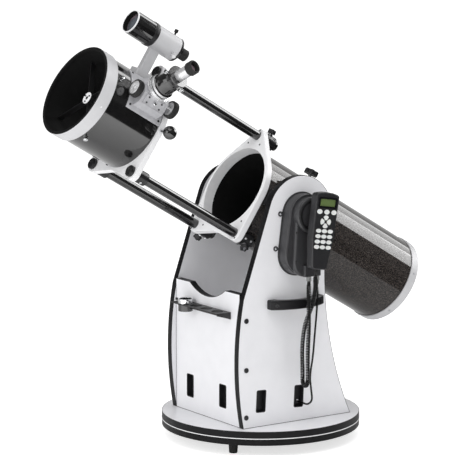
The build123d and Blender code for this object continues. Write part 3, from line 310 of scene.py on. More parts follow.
def paint(name, base, *rules):
    """Gives a CAD node its finish; each rule is (finish, test of a face's centre and normal)."""
    mesh = nodes[name].data
    mesh.materials.clear()
    mesh.materials.append(base)
    for material, _ in rules:
        mesh.materials.append(material)
    for face in mesh.polygons:
        centre, normal = face.center, face.normal
        index = 0
        for number, (_, test) in enumerate(rules, start=1):
            if test(centre, normal):
                index = number
        face.material_index = index


def faces_inward(centre, normal):
    """True on a wall that looks at the tube's axis."""
    radius, angle, _ = around(centre)
    return radius < TUBE_INSIDE and normal.dot(outward(angle)) < -0.3


def faces_skyward(centre, normal):
    return abs(normal.dot(SKYWARD)) > 0.7


for board in ("turntable_board", "left_side_panel", "right_side_panel", "front_panel"):
    paint(board, LAMINATE)
paint("rocker_edge_bands", BANDING)
paint("ground_board", BLACK_BOARD)
paint("feet", RUBBER)
paint("azimuth_pivot_bolt", STEEL)
paint("azimuth_gear", BRASS)
for steel_piece in ("azimuth_pinion", "altitude_worm"):
    paint(steel_piece, STEEL)
paint("altitude_wheel", BRASS)
paint("altitude_motor", STEEL)
for moulded in ("slot_liners", "panel_bolt_caps", "azimuth_drive_housing", "handset_bracket"):
    paint(moulded, PLASTIC)
paint("carry_handles", GRIP)
for housing in ("altitude_drive_base", "altitude_drive_cover"):
    paint(housing, HOUSING)
for shell in ("handset_front_shell", "handset_rear_shell"):
    paint(shell, HANDSET_SKIN)
paint("handset_screen", DISPLAY)
paint("number_keys", KEYCAP)
for key in ("back", "enter", "menu", "right", "up", "left", "down"):
    paint(f"key_{key}", KEYCAP)

HOLDER = Vector((-0.065, -0.190, 0))
HOLDER_OUTSIDE, SHELF_TOP = 0.0194, 0.3562


def on_holder(centre, normal):
    return hypot(centre.x - HOLDER.x, centre.y - HOLDER.y) < HOLDER_OUTSIDE


paint(
    "accessory_tray", SATIN_BLACK,
    (GLOSS, on_holder),
    (CHROME, lambda c, n: c.z > SHELF_TOP and on_holder(c, n)),
)

paint("lower_tube", FLAKE, (INNER_BLACK, faces_inward), (STEEL, faces_skyward))
paint("upper_tube", GLOSS, (INNER_BLACK, faces_inward), (STEEL, faces_skyward))
for ring in ("lower_truss_ring", "upper_truss_ring"):
    paint(ring, POWDER_WHITE)
paint("rear_end_ring", POWDER_WHITE_PAINTED_SHADE)
paint("front_ring", POWDER_WHITE_PAINTED_SHADE, (INNER_BLACK, faces_inward))
KNOBS_BELOW_S = -468
paint("mirror_cell", CAST_GREY, (SATIN_BLACK, lambda c, n: around(c)[2] < KNOBS_BELOW_S))
paint("primary_mirror", MIRROR, (STEEL, lambda c, n: n.dot(SKYWARD) < 0.9))
paint("secondary_mirror", MIRROR, (SATIN_BLACK, lambda c, n: n.dot(FOCUS_DIR - SKYWARD) < 1.3))
paint("altitude_saddle", SATIN_BLACK)
paint("left_trunnion", SATIN_BLACK)
paint("pole_clamps", ANODISED)
paint("truss_poles", GLOSS)

BALL = on_tube(449, 0, 160)
BALL_R = 0.0175
STEM_FROM, STEM_TO, STEM_HALF_ANGLE = 120, 145, 4
VANE_END_R = 114
paint(
    "ring_fittings", ANODISED,
    (CHROME, lambda c, n: STEM_FROM < around(c)[0] < STEM_TO and abs(around(c)[1]) < STEM_HALF_ANGLE),
    (GLOSS, lambda c, n: (c - BALL).length < BALL_R),
)
paint("spider", SATIN_BLACK, (CHROME, lambda c, n: around(c)[0] > VANE_END_R))

SADDLE_KNOB = Vector(joints["saddle_clamp_turn"]["pos_m"])
SADDLE_STUD_R, LOCK_STUD_R = 4.3, 3.3
paint("saddle_knob", PLASTIC, (CHROME, lambda c, n: off_axis(c, SADDLE_KNOB, OVER)[1] < SADDLE_STUD_R))
for number, angle in enumerate(POLE_ANGLES, start=1):
    lock = Vector(joints[f"pole_lock_turn_{number}"]["pos_m"])
    paint(
        f"pole_lock_knob_{number}", PLASTIC,
        (CHROME, lambda c, n, lock=lock, way=outward(angle): off_axis(c, lock, way)[1] < LOCK_STUD_R),
    )

SLEEVE_RHO, EYECUP_RHO = 152.5, 262
EYE_LENS_RHO, EYE_LENS_R = 268, 11.5


def on_eye_lens(centre, normal):
    """True on the eyepiece's lens, inside its eyecup."""
    height, radius = off_axis(centre, FOCUS_ORIGIN, FOCUS_DIR)
    return radius < EYE_LENS_R and height > EYE_LENS_RHO and normal.dot(FOCUS_DIR) > 0.8


paint(
    "focuser_body", CAST_WHITE_PAINTED_SHADE,
    (BRUSHED, lambda c, n: off_axis(c, FOCUS_ORIGIN, FOCUS_DIR)[0] > SLEEVE_RHO and n.dot(FOCUS_DIR) > -0.5),
)
paint("focus_knobs", BRUSHED)
paint("drawtube", BRUSHED)
paint("eyepiece_adapter", GLOSS)
paint(
    "eyepiece", BRUSHED,
    (RUBBER, lambda c, n: off_axis(c, FOCUS_ORIGIN, FOCUS_DIR)[0] > EYECUP_RHO),
    (LENS, on_eye_lens),
)

FINDER_SCREW_S, SCREW_HALF_WIDTH, SCREWS_FROM_R = 468.0, 6, 31.5
STEM_HALF_LENGTH, STEM_FOOT_RHO, CRADLE_R = 16, 127.5, 31.2


def finder_screw(centre, normal):
    """True on the bracket's screws, which stand out round the finder."""
    height, radius = off_axis(centre, FINDER_ORIGIN, SKYWARD)
    return radius > SCREWS_FROM_R and abs(height - FINDER_SCREW_S) < SCREW_HALF_WIDTH


def finder_stem(centre, normal):
    """True on the bracket's stem, between its foot on the tube and its cradle."""
    rho, _, s = around(centre)
    radius = off_axis(centre, FINDER_ORIGIN, SKYWARD)[1]
    return rho > STEM_FOOT_RHO and abs(s - FINDER_S) < STEM_HALF_LENGTH and radius > CRADLE_R


paint(
    "finder_bracket", POWDER_WHITE_PAINTED_SHADE, (ANODISED, finder_screw),
    (BRUSHED, lambda c, n: finder_screw(c, n) and c.z < on_tube(FINDER_SCREW_S, FINDER_ANGLE, FINDER_RHO).z),
    (CAST_GREY, finder_stem),
)
RIM_S, HOOD_FROM_S, HOOD_TO_S = 598.5, 587, 599.5
HOOD_R, FINDER_LENS_R = 28.5, 27


def in_finder_hood(centre, normal):
    """True on the wall in front of the finder's lens."""
    height, radius = off_axis(centre, FINDER_ORIGIN, SKYWARD)
    return HOOD_FROM_S < height < HOOD_TO_S and radius < HOOD_R


def on_finder_lens(centre, normal):
    return off_axis(centre, FINDER_ORIGIN, SKYWARD)[1] < FINDER_LENS_R and normal.dot(SKYWARD) > 0.9


paint(
    "finder_tube", GLOSS,
    (POWDER_WHITE, lambda c, n: off_axis(c, FINDER_ORIGIN, SKYWARD)[0] > RIM_S),
    (INNER_BLACK, in_finder_hood),
    (LENS, on_finder_lens),
)

# ---------------------------------------------------------------- shapes for small pieces


CREASE = 35.0


def add_piece(name, mesh_data, body, material):
    """Links a finished bmesh as a piece that rides on a body."""
    mesh = bpy.data.meshes.new(name)
    bmesh.ops.recalc_face_normals(mesh_data, faces=mesh_data.faces)
    mesh_data.to_mesh(mesh)
    mesh_data.free()
    mesh.materials.append(material)
    mesh.shade_smooth()
    mesh.set_sharp_from_angle(angle=radians(CREASE))
    piece = bpy.data.objects.new(name, mesh)
    scene.collection.objects.link(piece)
    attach(piece, body)
    return piece


def eased(points, radius, steps=3):
    """Rounds the inner corners of a profile."""
    rounded = [points[0]]
    for before, here, after in zip(points, points[1:], points[2:]):
        a, b, c = Vector(before[:2]), Vector(here[:2]), Vector(after[:2])
        reach = min(radius, (a - b).length * 0.45, (c - b).length * 0.45)
        start, end = b + (a - b).normalized() * reach, b + (c - b).normalized() * reach
        for step in range(steps + 1):
            t = step / steps
            point = start * (1 - t) ** 2 + b * 2 * t * (1 - t) + end * t**2
            rounded.append((point.x, point.y, *here[2:]))
    rounded.append(points[-1])
    return rounded


def turned(name, profile, spots, body, material, segments=40, flutes=0):
    """Turned pieces at several (point, axis) spots. A profile point is (radius, height) in millimetres,
    with a flute's depth as an optional third value."""
    mesh_data = bmesh.new()
    for point, axis in spots:
        axis = Vector(axis).normalized()
        across = axis.cross(SKYWARD if abs(axis.dot(SKYWARD)) < 0.9 else OVER).normalized()
        other = axis.cross(across)
        rings = []
        for radius, height, *cut in profile:
            centre = point + axis * height * MM
            if radius == 0:
                rings.append([mesh_data.verts.new(centre)])
                continue
            ring = []
            for step in range(segments):
                turn = 2 * pi * step / segments
                depth = cut[0] * (0.5 - 0.5 * cos(flutes * turn)) if cut else 0.0
                reach = (radius - depth) * MM
                ring.append(mesh_data.verts.new(centre + (across * cos(turn) + other * sin(turn)) * reach))
            rings.append(ring)
        for low, high in zip(rings, rings[1:]):
            for step in range(segments):
                after = (step + 1) % segments
                corners = [low[step % len(low)], low[after % len(low)]]
                corners += [high[after % len(high)], high[step % len(high)]]
                corners = list(dict.fromkeys(corners))
                if len(corners) > 2:
                    mesh_data.faces.new(corners)
    return add_piece(name, mesh_data, body, material)


def block(name, centre, axes, size, bevel, body, material, segments=3):
    """A box with rounded edges; axes are its own three directions, sizes in millimetres."""
    mesh_data = bmesh.new()
    bmesh.ops.create_cube(mesh_data, size=1.0)
    for vert in mesh_data.verts:
        offset = [coordinate * length * MM for coordinate, length in zip(vert.co, size)]
        vert.co = centre + axes[0] * offset[0] + axes[1] * offset[1] + axes[2] * offset[2]
    bmesh.ops.bevel(
        mesh_data, geom=mesh_data.edges[:], offset=bevel * MM, segments=segments, profile=0.5, affect="EDGES"
    )
    return add_piece(name, mesh_data, body, material)


def cap_screw(radius, height):
    """Profile of a socket cap screw's head, with its recess."""
    return eased(
        [(0, height * 0.45), (radius * 0.5, height * 0.45), (radius * 0.5, height), (radius, height),
         (radius, 0), (radius * 0.6, -0.6), (0, -0.6)], radius * 0.14, 2,
    )


def dome_screw(radius, height):
    """Profile of a domed screw head, with its drive recess."""
    return [(0, height * 0.5), (radius * 0.22, height * 0.55), (radius * 0.34, height),
            (radius * 0.7, height * 0.82), (radius * 0.93, height * 0.42), (radius, 0), (radius * 0.6, -0.6),
            (0, -0.6)]


# ---------------------------------------------------------------- camera

FOCAL_LENGTH, SENSOR = 181.97, 36.0
CAMERA_RIGHT = Vector((0.5611, 0.8277, 0.0))
CAMERA_UP = Vector((-0.1241, 0.0841, 0.9887))
CAMERA_BACK = Vector((0.8184, -0.5548, 0.1499))
CAMERA_PLACE = Vector((4.8004, -3.3579, 1.4318))

camera_data = bpy.data.cameras.new("camera")
camera_data.lens = FOCAL_LENGTH
camera_data.sensor_width = SENSOR
camera = bpy.data.objects.new("camera", camera_data)
scene.collection.objects.link(camera)
turn = Matrix((CAMERA_RIGHT, CAMERA_UP, CAMERA_BACK)).transposed()
camera.matrix_world = Matrix.Translation(CAMERA_PLACE) @ turn.to_4x4()
scene.camera = camera

# ---------------------------------------------------------------- cords

SOCKET_LOW = 446.0
HANDSET_LEAN = radians(8.7)
HANDSET_ACROSS = Vector((0, cos(HANDSET_LEAN), -sin(HANDSET_LEAN)))
HANDSET_UP = Vector((0, sin(HANDSET_LEAN), cos(HANDSET_LEAN)))
HANDSET_ORIGIN = Vector((228, 15, 564))


def on_handset(x, y, z):
    """Point on the handset, in metres: x across it, y up it, z out of its back."""
    return (HANDSET_ORIGIN + HANDSET_ACROSS * x + HANDSET_UP * y + RIGHT * z) * MM


TAIL = on_handset(0, -96, 12) / MM
TAIL_RUN = on_handset(0, -116, 12) / MM
CURLY_ROUTE = [
    (209, 1, SOCKET_LOW), (209, 1, 428), (217, -5, 408), (224, -10, 372), (223, -8, 322),
    (222.5, -11, 262), (223.5, -11.5, 208), (223, -11, 168), (197, -8.5, 167),
    (197, -8, 205), (199, -12, 252), (202, -11, 294), (206, -6, 331), (215, 5, 365),
    (222, 9, 395), (233, 5, 425), tuple(TAIL_RUN), tuple(TAIL),
]
GLAND = (66, 0, 86)
CABLE_ROUTE = [
    (208, 27, SOCKET_LOW), (208, 27, 426), (212, 27, 400), (215.5, 21, 350), (214.5, 16, 296),
    (213, 12.5, 240), (209.5, 5, 190), (211, 9, 152), (204, 18, 124), (186, 16, 110),
    (166, 12, 113), (144, 11, 114), (120, 7, 102), (96, 2, 89), (80, 0, 86), GLAND,
]
CABLE_R = 2.5
CURL_R, CURL_WIRE_R, CURL_PITCH = 4.3, 1.65, 4.1
CURL_STEPS = 14
PLAIN_LEAD = 16.0


def smooth_curve(name, points, radius=0.0, bevel_steps=4, resolution=10):
    """A curve with those points, in millimetres, as the control points of one NURBS spline."""
    data = bpy.data.curves.new(name, "CURVE")
    data.dimensions = "3D"
    data.resolution_u = resolution
    spline = data.splines.new("NURBS")
    spline.points.add(len(points) - 1)
    for control, point in zip(spline.points, points):
        control.co = (*(Vector(point) * MM), 1)
    spline.order_u = 3
    spline.use_endpoint_u = True
    data.bevel_depth = radius * MM
    data.bevel_resolution = bevel_steps
    data.use_fill_caps = True
    curve = bpy.data.objects.new(name, data)
    scene.collection.objects.link(curve)
    return curve


def curve_line(points):
    """The smooth line of a route, as points in millimetres."""
    guide = smooth_curve("guide", points)
    bpy.context.view_layer.update()
    mesh = bpy.data.meshes.new_from_object(guide.evaluated_get(bpy.context.evaluated_depsgraph_get()))
    line = [vert.co / MM for vert in mesh.vertices]
    bpy.data.objects.remove(guide)
    bpy.data.meshes.remove(mesh)
    return line


def even_steps(line, step):
    """Points at even steps along a line, with the line's direction at each."""
    spots, left = [], 0.0
    for start, end in zip(line, line[1:]):
        run = end - start
        while left < run.length:
            spots.append((start + run.normalized() * left, run.normalized()))
            left += step
        left -= run.length
    return spots


def curl(line):
    """Turns of a curly cord round a line, plain at both ends."""
    spots = even_steps(line, CURL_PITCH / CURL_STEPS)
    side = Vector((0, 1, 0))
    points = []
    for number, (place, along) in enumerate(spots):
        side = (side - along * side.dot(along)).normalized()
        from_end = min(number, len(spots) - 1 - number) * CURL_PITCH / CURL_STEPS
        swell = min(max((from_end - PLAIN_LEAD * 0.5) / PLAIN_LEAD, 0.0), 1.0)
        swell = swell * swell * (3 - 2 * swell)
        angle = 2 * pi * number / CURL_STEPS
        reach = CURL_R * swell * (1 + 0.03 * sin(0.19 * number / CURL_STEPS))
        points.append(place + (side * cos(angle) + along.cross(side) * sin(angle)) * reach)
    points.append(line[-1])
    return points


curly_points = curl(curve_line(CURLY_ROUTE))
curly = smooth_curve("curly_cord", curly_points, CURL_WIRE_R, bevel_steps=2, resolution=2)
curly.data.materials.append(WIRE_BLACK)
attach(curly, "rocker")
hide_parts("handset_cord")

cable = smooth_curve("azimuth_lead", CABLE_ROUTE, CABLE_R)
cable.data.materials.append(WIRE_BLACK)
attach(cable, "rocker")
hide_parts("azimuth_cable")

WORLD_AXES = (RIGHT, Vector((0, 1, 0)), Vector((0, 0, 1)))
DOWN = Vector((0, 0, -1))
curly_plug = block("curly_cord_plug", Vector((209, 1, 440.5)) * MM, WORLD_AXES, (9, 10, 13), 1.0, "rocker",
                   CLEAR)
cable_plug = block("azimuth_lead_plug", Vector((208, 27, 440.5)) * MM, WORLD_AXES, (8, 10, 13), 1.0, "rocker",
                   CLEAR)
BOOT = eased([(0, 0), (4.4, 0), (4.2, 9), (2.6, 13), (2.0, 16), (0, 16)], 0.8)
curly_boot = turned(
    "curly_cord_boots", BOOT,
    [(Vector((209, 1, 435)) * MM, DOWN), (TAIL * MM + HANDSET_UP * 0.001, -HANDSET_UP)],
    "rocker", RUBBER,
)
cable_boot = turned(
    "azimuth_lead_boots", eased([(0, 0), (4.6, 0), (4.4, 8), (3.1, 14), (0, 14)], 0.8),
    [(Vector((208, 27, 435)) * MM, DOWN), (Vector(GLAND) * MM, RIGHT)], "rocker", RUBBER,
)

# ---------------------------------------------------------------- fittings on the rocker

DRIVE_LEAN = radians(7.4)
DRIVE_ACROSS = Vector((0, cos(DRIVE_LEAN), -sin(DRIVE_LEAN)))
DRIVE_UP = Vector((0, sin(DRIVE_LEAN), cos(DRIVE_LEAN)))
COVER_DEPTH, BOSS_DEPTH = 42.0, 52.0


def on_drive(x, y, z):
    """Point on the altitude drive: x across, y up, z out from the side panel."""
    return PIVOT + (RIGHT * (SIDE_X + z) + DRIVE_ACROSS * x + DRIVE_UP * y) * MM


turned("drive_base_screws", dome_screw(3.4, 2.0),
       [(on_drive(x, y, 3.0), RIGHT) for x, y in ((-63, -6), (-66, -94), (63, -6), (66, -94))],
       "rocker", STEEL, segments=24)
turned("drive_cover_screws", dome_screw(2.6, 1.4),
       [(on_drive(x, y, COVER_DEPTH), RIGHT) for x, y in ((-37, -48), (40, -48), (-28, -120), (31, -120))],
       "rocker", ANODISED, segments=24)
turned("drive_boss_trim", eased([(33, 0), (39, 0), (39, 1.6), (33, 1.6), (33, 0)], 0.6),
       [(on_drive(0, 0, BOSS_DEPTH), RIGHT)], "rocker", ANODISED, segments=72)
turned("turntable_glide_trim",
       eased([(257.05, 46.7), (257.7, 46.7), (257.7, 48.8), (257.05, 48.8), (257.05, 46.7)], 0.2),
       [(Vector((0, 0, 0)), Vector((0, 0, 1)))], "rocker", POWDER_WHITE, segments=256)
turned("holder_rim", eased([(16.2, 363), (16.2, 368), (19.6, 368), (19.6, 361), (18.9, 361)], 0.8),
       [(HOLDER, Vector((0, 0, 1)))], "rocker", CHROME, segments=72)
turned("holder_clamp_screw",
       eased([(0, 0), (1.3, 0), (1.3, 17), (3.4, 17, 0.4), (3.4, 25, 0.4), (0, 25.6)], 0.4),
       [(Vector((-83.8, -190, 361)) * MM, -RIGHT)], "rocker", ANODISED, segments=60, flutes=12)
turned("tray_screws", dome_screw(2.2, 1.2),
       [(Vector((x, -168.5, 343)) * MM, Vector((0, -1, 0))) for x in (-92, 92)],
       "rocker", ANODISED, segments=20)
turned("handle_screws", cap_screw(5.0, 2.2),
       [(Vector((side * 187.2, y, 376)) * MM, Vector((side * 0.887, way * 0.462, 0)))
        for side in (1, -1) for y, way in ((-80, -1), (56, 1))],
       "rocker", ANODISED, segments=28)

SCREEN_Y, HANDSET_FACE = 72.0, 26.0


def bezel():
    """A raised frame round the handset's display."""
    mesh_data = bmesh.new()
    outer, inner = (56.0, 27.0, 3.0), (47.0, 18.0, 1.0)
    corner_steps = 4
    loops = []
    for (width, height, corner), out in ((outer, 0.0), (outer, 0.9), (inner, 0.9), (inner, -1.0)):
        loop = []
        for sign_x, sign_y, start in ((1, 1, 0), (-1, 1, 90), (-1, -1, 180), (1, -1, 270)):
            for step in range(corner_steps + 1):
                angle = radians(start + 90 * step / corner_steps)
                x = sign_x * (width / 2 - corner) + corner * cos(angle)
                y = sign_y * (height / 2 - corner) + corner * sin(angle)
                loop.append(mesh_data.verts.new(on_handset(x, SCREEN_Y + y, HANDSET_FACE + out)))
        loops.append(loop)
    for low, high in zip(loops, loops[1:]):
        for step in range(len(low)):
            after = (step + 1) % len(low)
            mesh_data.faces.new((low[step], low[after], high[after], high[step]))
    return add_piece("handset_bezel", mesh_data, "rocker", BEZEL)


bezel()
turned("handset_shell_screws", dome_screw(2.4, 1.0),
       [(on_handset(x, y, 0), -RIGHT) for x, y in ((-26, 80), (26, 80), (-18, -78), (18, -78))],
       "rocker", STEEL, segments=20)
turned("azimuth_housing_screws", dome_screw(3.0, 1.6),
       [(Vector((x, y, 112)) * MM, Vector((0, 0, 1)))
        for x, y in ((44, 0), (-12, 44), (-12, -44), (-92, 16), (-92, -16))],
       "rocker", STEEL, segments=24)

# ---------------------------------------------------------------- fittings on the lower tube

LOWER_FACE_S = 107.0
ring_spots = []
for angle in POLE_ANGLES:
    for lean in (-11.5, 11.5):
        ring_spots.append((on_tube(LOWER_FACE_S, angle + lean, 127), SKYWARD))
    ring_spots.append((on_tube(LOWER_FACE_S, angle, 163.3), SKYWARD))
turned("lower_ring_screws", cap_screw(2.3, 0.9), ring_spots, "tube", ANODISED, segments=24)
turned("clamp_washers", eased([(0, 0), (7, 0), (7, 1.6), (4.2, 1.6), (4.2, 4), (0, 4)], 0.4),
       [(on_tube(73, angle, POLE_RHO + 18.6), outward(angle)) for angle in POLE_ANGLES],
       "tube", CHROME, segments=32)
turned("clamp_screws", cap_screw(3.0, 3.4),
       [(on_tube(s, angle + lean, POLE_RHO + 12.0), outward(angle + lean * 3.2))
        for angle in POLE_ANGLES for lean in (-5.2, 5.2) for s in (64, 82)],
       "tube", CHROME, segments=24)
turned("rear_ring_screws", dome_screw(2.6, 1.3),
       [(on_tube(-453, angle, 117.4), outward(angle)) for angle in range(15, 375, 60)],
       "tube", STEEL, segments=24)
turned("saddle_screws", cap_screw(3.4, 2.6),
       [(PIVOT + (RIGHT * 112 + OVER * 22 + SKYWARD * s) * MM, OVER) for s in (-70, -55, 55, 70)],
       "tube", CHROME, segments=24)
turned("saddle_knob_washer", eased([(0, 0), (8, 0), (8, 2), (0, 2)], 0.5),
       [(PIVOT + (RIGHT * 132 + OVER * 36) * MM, OVER)], "tube", CHROME, segments=32)
turned("collimation_springs",
       [(6.0 if step % 2 else 4.6, step * 1.1) for step in range(12)],
       [(on_tube(-474, angle, 80), SKYWARD) for angle in (90, 210, 330)],
       "tube", STEEL, segments=24)

# ---------------------------------------------------------------- fittings on the upper cage

HUB_S = 605.0
turned("spider_hub_cap", eased([(0, 0), (15.2, 0), (15.2, 1.8), (5.2, 2.2), (5.2, 1.2), (0, 1.2)], 0.5),
       [(on_tube(HUB_S), SKYWARD)], "cage", POWDER_WHITE, segments=56)
turned("hub_screws", cap_screw(2.2, 2.2),
       [(on_tube(HUB_S + 1.6, angle, 10), SKYWARD) for angle in (33, 153, 273)],
       "cage", ANODISED, segments=24)
turned("hub_centre_screw", dome_screw(4.4, 2.2), [(on_tube(HUB_S + 1.2), SKYWARD)],
       "cage", ANODISED, segments=32)
turned("vane_nuts", eased([(6.2, 0), (6.2, 1.6), (4.8, 1.6), (4.6, 7.2), (3.2, 9.2), (0, 9.8)], 0.7),
       [(on_tube(598, FOCUS_ANGLE + 90 * step, 115), outward(FOCUS_ANGLE + 90 * step)) for step in range(4)],
       "cage", CHROME, segments=32)
turned("upper_ring_screws", dome_screw(3.0, 1.8),
       [(on_tube(465, angle, 115), outward(angle)) for angle in (-8, -98, -172, 128, 152)],
       "cage", ANODISED, segments=24)
turned("front_ring_stop", eased([(110.9, 645), (110.9, 646.4), (118.2, 646.4), (118.2, 645)], 0.3),
       [(on_tube(0), SKYWARD)], "cage", INNER_BLACK, segments=200)
turned("front_ring_screws", dome_screw(2.4, 1.2),
       [(on_tube(626, angle, 118.9), outward(angle)) for angle in (-12, 78, 168, 258)],
       "cage", POWDER_WHITE, segments=24)
turned("pole_end_caps",
       eased([(0, 0), (13.4, 0), (13.4, 1.4), (9, 2.6), (4.4, 2.8), (4.4, 1.6), (0, 1.6)], 0.6),
       [(on_tube(464, angle, POLE_RHO), SKYWARD) for angle in POLE_ANGLES],
       "cage", ANODISED, segments=40)
turned("socket_screws", cap_screw(3.0, 3.0),
       [(on_tube(427, angle, POLE_RHO + 16.8), outward(angle)) for angle in POLE_ANGLES],
       "cage", CHROME, segments=24)

BLOCK_FACE = (FOCUS_SIDE + FOCUS_DIR).normalized()
BLOCK_SLOPE = (FOCUS_DIR - FOCUS_SIDE).normalized()
plate_centre = on_focuser(0, 36.5, 140.5)
block("pinion_cover_plate", plate_centre + BLOCK_FACE * 0.001, (SKYWARD, BLOCK_SLOPE, BLOCK_FACE),
      (58, 23, 3.0), 1.0, "cage", CAST_WHITE_PAINTED_SHADE)
turned("pinion_cover_screws", cap_screw(2.3, 1.3),
       [(plate_centre + (SKYWARD * x + BLOCK_SLOPE * y + BLOCK_FACE * 2.4) * MM, BLOCK_FACE)
        for x in (-20, 20) for y in (-7, 7)],
       "cage", ANODISED, segments=24)
turned("focus_lock_screw", eased([(0, 0), (4.2, 0), (4.2, 6), (2.4, 6.8), (0, 6.8)], 0.6),
       [(plate_centre + BLOCK_FACE * 0.0024, BLOCK_FACE)], "cage", CHROME, segments=28)
turned("focuser_base_screws", cap_screw(2.8, 1.5),
       [(on_tube(FOCUS_S + x, FOCUS_ANGLE + lean, 117.9), outward(FOCUS_ANGLE + lean))
        for x in (-46, 46) for lean in (-24, 24)],
       "cage", ANODISED, segments=24)
turned("focuser_collar", eased([(34.1, 153.4), (35.2, 153.4), (35.2, 155.4), (34.1, 155.4)], 0.3),
       [(FOCUS_ORIGIN, FOCUS_DIR)], "cage", BRUSHED, segments=96)
turned("focuser_collar_upper", eased([(34.0, 161.6), (34.6, 162.0), (34.6, 163.1), (31.5, 163.1)], 0.3),
       [(FOCUS_ORIGIN, FOCUS_DIR)], "cage", CHROME, segments=96)

turned("finder_focus_ring",
       eased([(30.8, 528.5), (32.0, 529.2, 0.5), (32.0, 540, 0.5), (30.8, 541)], 0.5),
       [(FINDER_ORIGIN, SKYWARD)], "cage", ANODISED, segments=240, flutes=60)
turned("finder_front_rim",
       eased([(29.4, 596), (29.4, 600.6), (31.4, 600.6), (31.4, 598), (30.9, 597)], 0.6),
       [(FINDER_ORIGIN, SKYWARD)], "cage", POWDER_WHITE, segments=96)
turned("finder_lens", [(0, 591.2), (9, 590.8), (18, 589.4), (25, 587.2), (27.6, 586.4)],
       [(FINDER_ORIGIN, SKYWARD)], "cage", LENS, segments=72)
turned("finder_rear_ring", eased([(29.8, 447.5), (31.2, 448.5, 0.4), (31.2, 454, 0.4), (29.8, 455)], 0.4),
       [(FINDER_ORIGIN, SKYWARD)], "cage", ANODISED, segments=192, flutes=48)
turned("finder_eyecup",
       eased([(10.5, 420), (10.5, 416), (14.9, 416), (14.9, 436), (14.0, 437)], 0.8),
       [(FINDER_ORIGIN, SKYWARD)], "cage", RUBBER, segments=64)
SHOE_SIDE = outward(FINDER_ANGLE - 90)
turned("finder_shoe_screw",
       eased([(0, 0), (2.4, 0), (2.4, 7), (6.2, 7, 0.7), (6.2, 13, 0.7), (3, 14), (0, 14)], 0.6),
       [(on_tube(FINDER_S, FINDER_ANGLE, 121) - SHOE_SIDE * 0.018, -SHOE_SIDE)], "cage", BRUSHED,
       segments=96, flutes=16)

# ---------------------------------------------------------------- fittings on the moving knobs and eyepiece

KNOB_Y, KNOB_RHO = 24.5, 140.5
RIM = eased([(17.2, 0.2), (18.0, -0.9), (21.2, -0.6, 0.5), (22.4, 1.6, 0.7), (22.4, 12.4, 0.7),
             (21.2, 14.6, 0.5), (18.0, 14.9), (17.2, 13.8)], 0.7)
turned("focus_knob_grips", RIM,
       [(on_focuser(x, KNOB_Y, KNOB_RHO), SKYWARD) for x in (-64, 50)],
       "focus_knobs", RUBBER, segments=288, flutes=36)
turned("focus_knob_faces",
       eased([(0, 0.9), (3.4, 0.9), (3.4, 0.2), (9, 0.2), (9.6, 1.0), (16.4, 1.0), (17, 0)], 0.3),
       [(on_focuser(64, KNOB_Y, KNOB_RHO), SKYWARD), (on_focuser(-64, KNOB_Y, KNOB_RHO), -SKYWARD)],
       "focus_knobs", BRUSHED, segments=72)
turned("adapter_thumb_screws",
       eased([(0, 0), (2, 0), (2, 6), (5.4, 6, 0.6), (5.4, 12, 0.6), (0, 12.6)], 0.5),
       [(on_focuser(0, 0, 216) + way * 0.0245, way)
        for way in (SKYWARD, (-SKYWARD + FOCUS_SIDE * 1.4).normalized())],
       "drawtube", CHROME, segments=84, flutes=14)
turned("adapter_ring", eased([(31.0, 164.6), (31.9, 165.2, 0.4), (31.9, 171, 0.4), (31.0, 171.6)], 0.4),
       [(FOCUS_ORIGIN, FOCUS_DIR)], "drawtube", BRUSHED, segments=224, flutes=56)
turned("eyecup_ribs",
       eased([(16.0, 263), (17.3, 264), (17.3, 266), (16.4, 267), (16.4, 268.5), (17.3, 269.5), (17.3, 271.5),
              (16.4, 272.5), (16.4, 274), (17.2, 275.5), (17.2, 279.5), (16.2, 281.6), (13.2, 281.8),
              (12.2, 279)], 0.5),
       [(FOCUS_ORIGIN, FOCUS_DIR)], "drawtube", RUBBER, segments=64)
turned("saddle_knob_cap", eased([(0, 2.2), (5, 2.2), (6.5, 1.2), (7.0, 0)], 0.6),
       [(PIVOT + (RIGHT * 132 + OVER * 116) * MM, OVER)], "saddle_knob", CHROME, segments=40)

# ---------------------------------------------------------------- floor and light


# Reflections see the pale floor only up to a straight edge, as if on a studio table: its way and distance.
FLOOR_EDGE_WAY = (0.585, 0.81, 0.0)
FLOOR_EDGE = 0.9
FLOOR_ALONG = (0.81, -0.585, 0.0)
CAMERA_GLOW, REFLECTED_GLOW, BOUNCE_GLOW = 0.68, 1.1, 0.42


